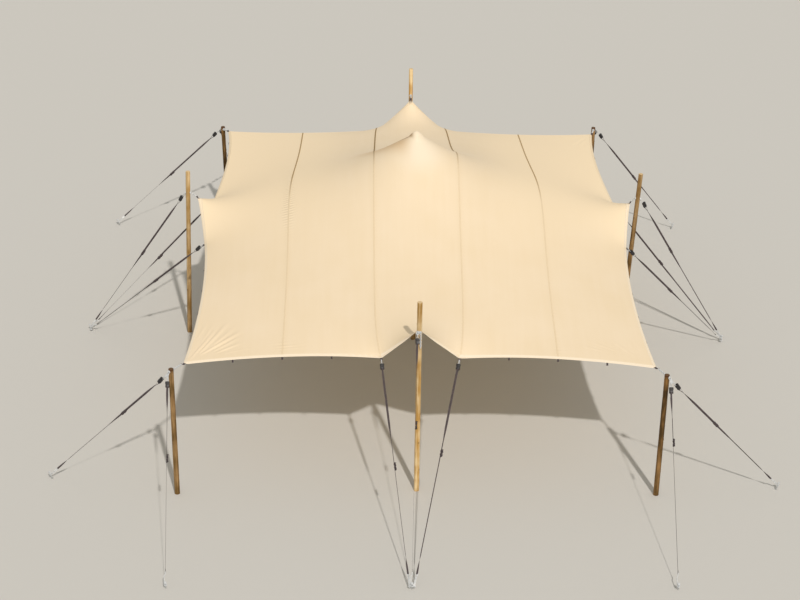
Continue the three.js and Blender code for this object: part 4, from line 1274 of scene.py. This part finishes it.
def corner_plate_line(pole_name):
    """Where a corner plate meets its eye bolt, and the way that it hangs, between its two straps."""
    centre, radius = chain_level(POLES[pole_name])
    bottoms = [pin_seat(stake) for name, stake in STAKES.items() if name.startswith(pole_name + "_")]
    level = sum((level_way(centre, bottom) for bottom in bottoms), Vector()).normalized()
    seat = centre + level * (radius + EYE_SEAT)
    return seat, sum(((bottom - seat).normalized() for bottom in bottoms), Vector()).normalized()


def middle_strap_line(pole_name):
    """Where a middle pole's own strap meets the pole, and the way that it runs down."""
    pole = POLES[pole_name]
    centre, radius = chain_level(pole)
    bottom = pin_seat(STAKES[pole_name])
    level = Vector((*pole["hook"], 0)) if "hook" in pole else level_way(centre, bottom)
    seat = centre + level.normalized() * (radius + EYE_SEAT)
    return seat, (bottom - seat).normalized()


def eye_parts(pole_name, seat, out, upright):
    """An eye bolt's shank and washer in the pole and its ring, which stands up or lies flat."""
    centre, radius = chain_level(POLES[pole_name])
    side = Vector((0, 0, 1)).cross(out).normalized()
    normal = side if upright else out.cross(side)
    ring = frame_of(seat + out * (EYE_FAR - EYE_RING), out, normal.cross(out), normal)
    shank = frame_at(centre, seat - centre) @ Matrix.Translation((0, 0, radius))
    return [(ring_model, ring), (shank_model, shank)]


plate = start_from(
    bpy.ops.mesh.primitive_cube_add, (PLATE_WIDE, PLATE_THICK, PLATE_ENDS[1] - PLATE_ENDS[0]),
    size=1, location=(0, 0, sum(PLATE_ENDS) / 2))
choose("VERT", lambda vertex, middle: middle.z < PLATE_ENDS[0] + 0.001)
bpy.ops.transform.resize(value=(PLATE_NARROW / PLATE_WIDE, 1, 1))
choose("EDGE", lambda edge, middle: abs(edge.verts[0].co.y - edge.verts[1].co.y) > 0.001)
bpy.ops.mesh.bevel(offset=PLATE_CORNER, segments=6, affect="EDGES")
bpy.ops.object.mode_set(mode="OBJECT")
bpy.ops.object.select_all(action="DESELECT")
for hole_x, hole_z, hole_radius in PLATE_HOLES:
    bpy.ops.mesh.primitive_cylinder_add(
        vertices=20, radius=hole_radius, depth=0.03, location=(hole_x, 0, hole_z),
        rotation=(math.pi / 2, 0, 0))
    drill = bpy.context.object
    bore = plate.modifiers.new("bore", "BOOLEAN")
    bore.object, bore.operation, bore.solver = drill, "DIFFERENCE", "EXACT"
    bpy.context.view_layer.objects.active = plate
    bpy.ops.object.modifier_apply(modifier=bore.name)
    bpy.data.objects.remove(drill)
plate_model = take_model(plate)
bpy.ops.object.select_all(action="DESELECT")
bpy.ops.mesh.primitive_torus_add(
    major_radius=EYE_RING, minor_radius=EYE_WIRE, major_segments=20, minor_segments=8)
ring_model = take_model(bpy.context.object)
shank = start_from(
    bpy.ops.mesh.primitive_cylinder_add, vertices=16, radius=WASHER_RADIUS, depth=WASHER_THICK)
choose("FACE", lambda face, middle: face.normal.z > 0.9)
bpy.ops.mesh.bevel(offset=0.001, segments=2, affect="EDGES")
bpy.ops.mesh.inset(thickness=0.0085)
bpy.ops.mesh.extrude_region_move(TRANSFORM_OT_translate={"value": (0, 0, SHANK_REACH)})
bpy.ops.mesh.inset(thickness=0.0015)
bpy.ops.object.mode_set(mode="OBJECT")
shank_model = take_model(shank)
for name in POLES:
    tip, (centre, radius) = Vector(TIPS[name]), chain_level(POLES[name])
    seat = centre + level_way(centre, tip) * (radius + EYE_SEAT)
    parts = eye_parts(name, seat, (tip - seat).normalized(), True)
    if "_" in name:
        seat, way = corner_plate_line(name)
        parts += eye_parts(name, seat, way, True) + [(plate_model, frame_at(seat, way))]
    else:
        parts += eye_parts(name, *middle_strap_line(name), False)
    if name == "front":
        aside = Vector(SPARE_EYE_WAY)
        parts += eye_parts(name, centre + aside * (radius + EYE_SEAT), aside, True)
        hangs = centre + aside * (radius + EYE_SEAT + EYE_FAR - EYE_WIRE) - Vector((0, 0, EYE_RING))
        parts += chain_links(hangs, hangs - Vector((0, 0.004, SPARE_CHAIN)))
    fittings = assemble(f"{name}_pole_fittings", parts, [zinc], 35)
    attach(fittings, "root")

# Hooks. Double hooks of zinc-plated 8 and 12 mm wire, bent from one length: two claws side by
# side that catch a loop or a plate at the top, or the stake at the foot, and a bar for the webbing.
HOOK_BAR, CLAW_REACH, BODY_BEND, ARM_BEND, BAR_CORNER = 0.022, 0.018, 0.030, 0.012, 0.006
HEAD_HOOK = {"wire": 0.0042, "bend": 0.0115, "length": 0.068, "spread": 0.0056}
FOOT_HOOK = {"wire": 0.0060, "bend": 0.0204, "length": 0.205, "spread": 0.0080}


def wire_end():
    """The middle of the wire's selected end face."""
    chosen = [v.co.copy() for v in bmesh.from_edit_mesh(bpy.context.object.data).verts if v.select]
    return sum(chosen, Vector()) / len(chosen)


def bend_wire(moves):
    """Draws the end face of a wire out along straights and bends."""
    for kind, *values in moves:
        if kind == "straight":
            bpy.ops.mesh.extrude_region_move(TRANSFORM_OT_translate={"value": values[0]})
        else:
            degrees, reach, axis = values
            bpy.ops.mesh.spin(
                steps=max(2, round(abs(degrees) / 22)), angle=-math.radians(degrees),
                center=wire_end() + Vector(reach), axis=axis)


def wire_hook(wire, bend, length, spread):
    """A double hook whose claws close round the X axis, with its body down to -length."""
    hook = start_from(
        bpy.ops.mesh.primitive_circle_add, vertices=8, radius=wire, fill_type="NGON",
        location=(spread, -bend, -CLAW_REACH))
    bpy.ops.mesh.select_all(action="SELECT")
    sideways, forwards = (0, 1, 0), (1, 0, 0)  # the lines that the wire bends about
    ease = math.degrees(math.acos(1 - bend / 2 / BODY_BEND))
    flare = math.degrees(math.acos(1 - (HOOK_BAR - BAR_CORNER - spread) / 2 / ARM_BEND))
    (ease_cos, ease_sin), (flare_cos, flare_sin) = (
        (math.cos(math.radians(turn)), math.sin(math.radians(turn))) for turn in (ease, flare))
    used = 2 * BODY_BEND * ease_sin + 2 * ARM_BEND * flare_sin
    bend_wire([
        ("straight", (0, 0, CLAW_REACH)),
        ("bend", -180, (0, bend, 0), forwards),
        ("straight", (0, 0, -max(0.004, length - BAR_CORNER - used))),
        ("bend", -ease, (0, -BODY_BEND, 0), forwards),
        ("bend", ease, Vector((0, ease_cos, -ease_sin)) * BODY_BEND, forwards),
        ("bend", -flare, (ARM_BEND, 0, 0), sideways),
        ("bend", flare, Vector((-flare_cos, 0, -flare_sin)) * ARM_BEND, sideways),
        ("bend", 90, (-BAR_CORNER, 0, 0), sideways),
    ])
    bend_wire([("straight", (-wire_end().x, 0, 0))])
    bpy.ops.mesh.delete(type="ONLY_FACE")
    bpy.ops.mesh.select_all(action="SELECT")
    bpy.ops.mesh.duplicate()
    bpy.ops.transform.resize(value=(-1, 1, 1), center_override=(0, 0, 0))
    bpy.ops.mesh.select_all(action="SELECT")
    bpy.ops.mesh.remove_doubles(threshold=0.0001)
    bpy.ops.mesh.normals_make_consistent(inside=False)
    bpy.ops.object.mode_set(mode="OBJECT")
    return take_model(hook)


head_hook_model = wire_hook(**HEAD_HOOK)
foot_hook_model = wire_hook(**FOOT_HOOK)

# Ratchets. Pressed steel frames, black-coated, with a toothed spool that winds the webbing, and
# a lever with a moulded grip that lies closed along the frame and over the roll.
BOLT_AT, SPOOL_AT, ROLL_RADIUS, HALF_FRAME = -0.086, -0.142, 0.0310, 0.0310
COATED, WEB, MOULDED = 1, 2, 3  # places in STRAP_FINISHES, where the zinc of the hooks is 0


def plain_finish(name, colour, lighter, roughness, grain_mm):
    """A dark finish with a fine grain and slight fading: a powder coat or a moulded nylon."""
    material, tree, surface = new_material(name)
    place = add_node(tree, "ShaderNodeAttribute", {"attribute_name": "place"}, {}).outputs["Vector"]
    fading = add_node(tree, "ShaderNodeTexNoise", {}, {
        "Vector": place, "Scale": noise_scale(30), "Detail": 3})
    tint = add_node(tree, "ShaderNodeMix", {"data_type": "RGBA"}, {
        0: fading.outputs["Fac"], 6: linear(colour), 7: linear(lighter)})
    tree.links.new(tint.outputs[2], surface.inputs["Base Color"])
    grain = add_node(tree, "ShaderNodeTexNoise", {}, {
        "Vector": place, "Scale": noise_scale(grain_mm), "Detail": 2})
    bump = add_node(tree, "ShaderNodeBump", {}, {
        "Height": grain.outputs["Fac"], "Strength": 0.2, "Distance": 0.0004})
    tree.links.new(bump.outputs[0], surface.inputs["Normal"])
    surface.inputs["Roughness"].default_value = roughness
    return material


coated_steel = plain_finish("black_powder_coated_steel", "#1E1D1F", "#343234", 0.45, 2)
moulded_nylon = plain_finish("moulded_black_nylon", "#232224", "#2E2C2D", 0.55, 3)
STRAP_FINISHES = [zinc, coated_steel, web_black, moulded_nylon]


def machined(kind, finish, scale, location, shape, **settings):
    """A primitive at its size and place, shaped in edit mode, kept with its finish."""
    part = start_from(kind, scale, location=location, **settings)
    shape()
    bpy.ops.object.mode_set(mode="OBJECT")
    points, faces, _ = take_model(part)
    return points, faces, [finish] * len(faces)


def round_plate_ends(reach):
    """Rounds a plate's outline by its four edges that run across the ratchet."""
    choose("EDGE", lambda edge, middle: abs(edge.verts[0].co.x - edge.verts[1].co.x) > 1e-4)
    bpy.ops.mesh.bevel(offset=reach, segments=4, affect="EDGES")


def soften_edges(reach):
    """Bevels every edge of a block."""
    bpy.ops.mesh.select_all(action="SELECT")
    bpy.ops.mesh.bevel(offset=reach, segments=2, affect="EDGES")


def head_ends(scale, rise):
    """Upsets both ends of a bolt into heads."""
    for side in (-1, 1):
        choose("FACE", lambda face, middle: face.normal.x * side > 0.9)
        bpy.ops.mesh.extrude_region_move(TRANSFORM_OT_translate={"value": (0, 0, 0)})
        bpy.ops.transform.resize(value=(1, scale, scale))
        bpy.ops.mesh.extrude_region_move(TRANSFORM_OT_translate={"value": (side * rise, 0, 0)})


def cut_teeth():
    """Draws in every other corner of the wheel, which leaves twelve teeth."""
    choose("VERT", lambda vertex, middle: round(
        math.atan2(middle.y, middle.z - SPOOL_AT) / math.radians(15)) % 2 == 0)
    bpy.ops.transform.resize(value=(1, 0.80, 0.80), center_override=(0, 0, SPOOL_AT))


def wind_layers():
    """Steps the ends of the wound webbing in and out, layer by layer."""
    for side in (-1, 1):
        choose("FACE", lambda face, middle: face.normal.x * side > 0.9)
        for k in range(4):
            bpy.ops.mesh.inset(thickness=0.0022)
            bpy.ops.transform.translate(value=(side * (0.0009 if k % 2 else -0.0009), 0, 0))


cube, cylinder = bpy.ops.mesh.primitive_cube_add, bpy.ops.mesh.primitive_cylinder_add
across_turn = (0, math.pi / 2, 0)
ratchet_parts = [  # bolt, spool, wound webbing, base plate, lever plate and lever grip
    machined(cylinder, COATED, (1, 1, 1), (0, 0, BOLT_AT), lambda: head_ends(1.6, 0.003),
             vertices=14, radius=0.0042, depth=2 * HALF_FRAME + 0.004, rotation=across_turn),
    machined(cylinder, COATED, (1, 1, 1), (0, 0, SPOOL_AT), lambda: head_ends(1.3, 0.002),
             vertices=14, radius=0.0070, depth=2 * HALF_FRAME + 0.004, rotation=across_turn),
    machined(cylinder, WEB, (1, 1, 1), (0, 0, SPOOL_AT), wind_layers,
             vertices=28, radius=ROLL_RADIUS, depth=0.0400, rotation=across_turn),
    machined(cube, COATED, (2 * HALF_FRAME, 0.0018, 0.044), (0, -0.017, -0.092),
             lambda: soften_edges(0.0006), size=1),
    machined(cube, COATED, (0.0540, 0.0018, 0.066), (0, 0.0345, -0.128),
             lambda: soften_edges(0.0006), size=1),
    machined(cube, MOULDED, (0.0700, 0.0260, 0.046), (0, 0.029, -0.094),
             lambda: soften_edges(0.0085), size=1),
]
for side in (-1, 1):
    ratchet_parts += [  # frame side, lever side and toothed wheel
        machined(cube, COATED, (0.0022, 0.042, 0.106), (side * HALF_FRAME, -0.002, -0.1200),
                 lambda: round_plate_ends(0.017), size=1),
        machined(cube, COATED, (0.0018, 0.048, 0.090), (side * (HALF_FRAME - 0.0026), 0.012, -0.1220),
                 lambda: round_plate_ends(0.017), size=1),
        machined(cylinder, COATED, (1, 1, 1), (side * 0.0235, 0, SPOOL_AT), cut_teeth,
                 vertices=24, radius=0.0275, depth=0.0028, rotation=across_turn),
    ]

# Straps. Black polyester webbing 29 mm wide, from the stake to the ratchet, turned on its way so
# that it doesn't hum in the wind. The spare webbing comes back down from the ratchet along it, and
# is folded up and bound to it part of the way down, so the strap is thicker above that point.
WEB_WIDTH, WEB_THICK, PLY, ASIDE, WEB_STEP = 0.029, 0.0024, 0.0034, 0.007, 0.045
BAR_WRAP, ABOVE_BAR, SEWN_TO, LIES_FLAT_FROM = 0.0066, 0.014, 0.052, 0.12
HANK_HALF, HANK_PLIES, HANK_ROUND, WRAP_AT, WRAP_GAP = 0.070, 7, 0.012, 0.028, 0.0028
WRAP_SQUARE, WRAP_SLANT = 1.6, 0.15
HEM_LOOP_OUT, HEM_LOOP_WIDTH, HEM_LOOP_THICK, HEM_LOOP_BEND = 0.054, 0.042, 0.0026, 0.008
HEM_LOOP_SEWN = (0.110, 0.075, 0.045)
TWIST_REACHES = (0.35, 0.35, 0.25)
TWISTS = {  # degrees under the ratchet, under the bundle and at the foot, and metres flat before
    ("pole", "lengthways"): (90, 0, 0, 0.12), ("pole", "sideways"): (90, 68, 112, 0.12),
    ("edge", "lengthways"): (68, 0, 112, 0.95), ("edge", "sideways"): (90, 68, 22, 0.12),
}
HANK_SHARE = 0.60
HANK_SHARES = {  # how far up the strap its spare end is bound
    "front_pole_strap": 0.63, "front_left_edge_strap": 0.51, "front_right_edge_strap": 0.57,
    "left_pole_strap": 0.57, "left_back_edge_strap": 0.57, "left_front_edge_strap": 0.59,
    "right_pole_strap": 0.64, "right_back_edge_strap": 0.57, "right_front_edge_strap": 0.55,
    "front_left_side_strap": 0.65, "front_right_front_strap": 0.70, "back_left_side_strap": 0.54,
    "back_right_side_strap": 0.52,
}
STRAPS = {}
for name in ("front", "back", "left", "right"):
    STRAPS[f"{name}_pole_strap"] = (name, name, None)
for end in ("front", "back"):
    for side in ("left", "right"):
        for way in (end, "side"):
            STRAPS[f"{end}_{side}_{way}_strap"] = (f"{end}_{side}_{way}", f"{end}_{side}", None)
for name, tie in EDGE_TIES.items():
    STRAPS[f"{name}_edge_strap"] = (tie["stake"], None, tie)


def strap_seat(pole_name, bottom):
    """Where a pole strap hooks in: the eye of a middle pole, or the plate of a corner pole."""
    if "_" in pole_name:
        seat, way = corner_plate_line(pole_name)
        across = frame_at(seat, way).to_3x3().col[0]
        side = math.copysign(1, (bottom - seat).dot(across))
        return seat + way * PLATE_HOOK_AT + across * (side * PLATE_HOOKS_APART)
    seat, way = middle_strap_line(pole_name)
    return seat + way * EYE_FAR


def strap_bands(middle, hook_at, turns, flat):
    """The strap's webbing, foot at the origin: main run, spare end, its two ties and head loop."""
    spool, low, high = hook_at + SPOOL_AT, middle - HANK_HALF, middle + HANK_HALF
    foot_bar = FOOT_HOOK["length"]
    free = foot_bar + SEWN_TO
    main = [(0, PLY * 0.8, free - 0.005), (0, PLY * 0.8, foot_bar + ABOVE_BAR)]
    main += [(0, BAR_WRAP * math.cos(math.radians(t)), foot_bar + BAR_WRAP * math.sin(math.radians(t)))
             for t in range(60, -241, -50)]
    main += [(0, -PLY * 0.5, foot_bar + ABOVE_BAR)]
    main += [(0, -PLY / 2, z) for z in np.arange(free, spool - LIES_FLAT_FROM, WEB_STEP)]
    main += [(0, -PLY / 2, spool - LIES_FLAT_FROM), (0, -ROLL_RADIUS / 2, spool - 0.055),
             (0, 0.0015 - ROLL_RADIUS, spool - 0.004)]
    tail = [(0, ROLL_RADIUS + 0.0008, spool - 0.002), (ASIDE / 2, ROLL_RADIUS * 0.6, spool - 0.05),
            (ASIDE, PLY / 2, spool - LIES_FLAT_FROM)]
    tail += [(ASIDE, PLY / 2, z)
             for z in np.arange(spool - (LIES_FLAT_FROM + WEB_STEP), high, -WEB_STEP)]
    for k in range(HANK_PLIES):
        y, x = PLY / 2 + k * PLY, ASIDE * (-1 if k % 2 else 1)
        ends = high - HANK_ROUND, low + HANK_ROUND
        ends = ends[::-1] if k % 2 else ends
        tail += [(x, y, ends[0]), (x, y, middle + (ends[0] - middle) * 0.4),
                 (x, y, middle + (ends[1] - middle) * 0.4), (x, y, ends[1])]
        if k < HANK_PLIES - 1:
            sign = 1 if k % 2 else -1
            tail += [(x * math.cos(t), y + PLY / 2 - PLY / 2 * math.cos(t),
                      ends[1] + sign * PLY / 2 * math.sin(t))
                     for t in np.linspace(0, math.pi, 5)[1:-1]]
    plain = [(main, (1, 0, 0), WEB_WIDTH, False), (tail, (1, 0, 0), WEB_WIDTH, False)]
    deep = (HANK_PLIES - 1) * PLY + PLY / 2 + WRAP_GAP
    for at in (middle - WRAP_AT, middle + WRAP_AT):
        wrap = []
        for t in np.linspace(0, 2 * math.pi, 21)[:-1]:
            x = max(-1, min(1, WRAP_SQUARE * math.cos(t))) * (WEB_WIDTH / 2 + ASIDE + 0.0016)
            y = max(-1, min(1, WRAP_SQUARE * math.sin(t)))
            wrap.append((x, (deep - PLY / 2 - WRAP_GAP) / 2 + y * (deep + PLY / 2 + WRAP_GAP) / 2,
                         at + x * WRAP_SLANT))
        plain.append((wrap, (0, 0, 1), WEB_WIDTH * 0.9, True))

    def twist(z):
        starts = (spool - flat, low, free + TWIST_REACHES[2])
        return sum(turn * max(0, min(1, (start - z) / reach))
                   for turn, start, reach in zip(turns, starts, TWIST_REACHES))

    bands = []
    for path, across, width, closed in plain:
        points, ways = [], []
        for x, y, z in path:
            c, d = math.cos(twist(z)), math.sin(twist(z))
            points.append((x * c - y * d, x * d + y * c, z))
            ways.append((across[0] * c - across[1] * d, across[0] * d + across[1] * c, across[2]))
        bands.append(band(points, ways, width, WEB_THICK, closed))
    short = [(0, BAR_WRAP * math.cos(t), hook_at + (BOLT_AT - HEAD_HOOK["length"]) / 2
              + BAR_WRAP * math.sin(t) + (0.008 if math.sin(t) > 0 else -0.008))
             for t in np.linspace(0, 2 * math.pi, 19)[:-1]]
    bands.append(band(short, [(1, 0, 0)] * len(short), WEB_WIDTH * 0.8, WEB_THICK, True))
    return bands


for name, (stake_name, pole_name, tie) in STRAPS.items():
    foot, away, way = stake_line(STAKES[stake_name])
    side = Vector((abs(away.y), abs(away.x), 0))
    if tie is None:
        bottom = foot + way * STRAP_SEAT
        top = strap_seat(pole_name, bottom)
    else:
        bottom = foot + way * BAR_HEIGHT + side * tie["way"] * BAR_TIE
        top = Vector(tie["point"])
    length = (top - bottom).length
    at_bottom = frame_at(bottom, top - bottom)
    hook_at = length if tie is None else length - HEM_LOOP_OUT + HEM_LOOP_BEND
    *turns, flat_stretch = TWISTS[
        "pole" if tie is None else "edge", "sideways" if abs(away.x) > 0.5 else "lengthways"]
    turns = [math.radians(turn) for turn in turns]
    bands = [(placed(points, at_bottom), faces, places) for points, faces, places in strap_bands(
        length * HANK_SHARES.get(name, HANK_SHARE), hook_at, turns, flat_stretch)]
    if tie is not None:
        cut_u, cut_v = tie["cut"]
        in_u, in_v = way_in(cut_u, cut_v)
        sewn = [Vector(on_cloth(cut_u + in_u * inside, cut_v + in_v * inside, UNDER_CLOTH)[0])
                for inside in HEM_LOOP_SEWN]
        down = (bottom - top).normalized()
        inside = HEM_LOOP_SEWN[-1]
        normal = Vector(on_cloth(cut_u + in_u * inside, cut_v + in_v * inside)[1])
        edge = Vector(on_cloth(cut_u, cut_v, UNDER_CLOTH)[0]) + down * 0.004
        loop_side = normal.cross((edge - sewn[-1]).normalized()).normalized()
        flat = loop_side.cross(down).normalized()
        flat = flat if flat.dot(normal) > 0 else -flat
        arc = [top + down * (HEM_LOOP_OUT - HEM_LOOP_BEND + 0.0075 * math.sin(t))
               + flat * 0.0068 * math.cos(t) for t in np.linspace(0, math.pi, 7)]
        path = sewn + [edge] + arc + [edge - normal * SECOND_PLY_AT_EDGE] + [
            p - normal * SECOND_PLY for p in reversed(sewn)]
        bands.append(band(path, [loop_side] * len(path), HEM_LOOP_WIDTH, HEM_LOOP_THICK))
    webbing = webbing_piece(f"{name}_webbing", bands)
    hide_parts(name)
    at_hook = at_bottom @ Matrix.Translation((0, 0, hook_at))
    at_foot = at_bottom @ Matrix.Rotation(sum(turns), 4, "Z") @ Matrix.Rotation(math.pi, 4, "X")
    hardware = assemble(f"{name}_hardware", [(head_hook_model, at_hook), (foot_hook_model, at_foot)]
                        + [(part, at_hook) for part in ratchet_parts], STRAP_FINISHES)
    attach(hardware, "root")
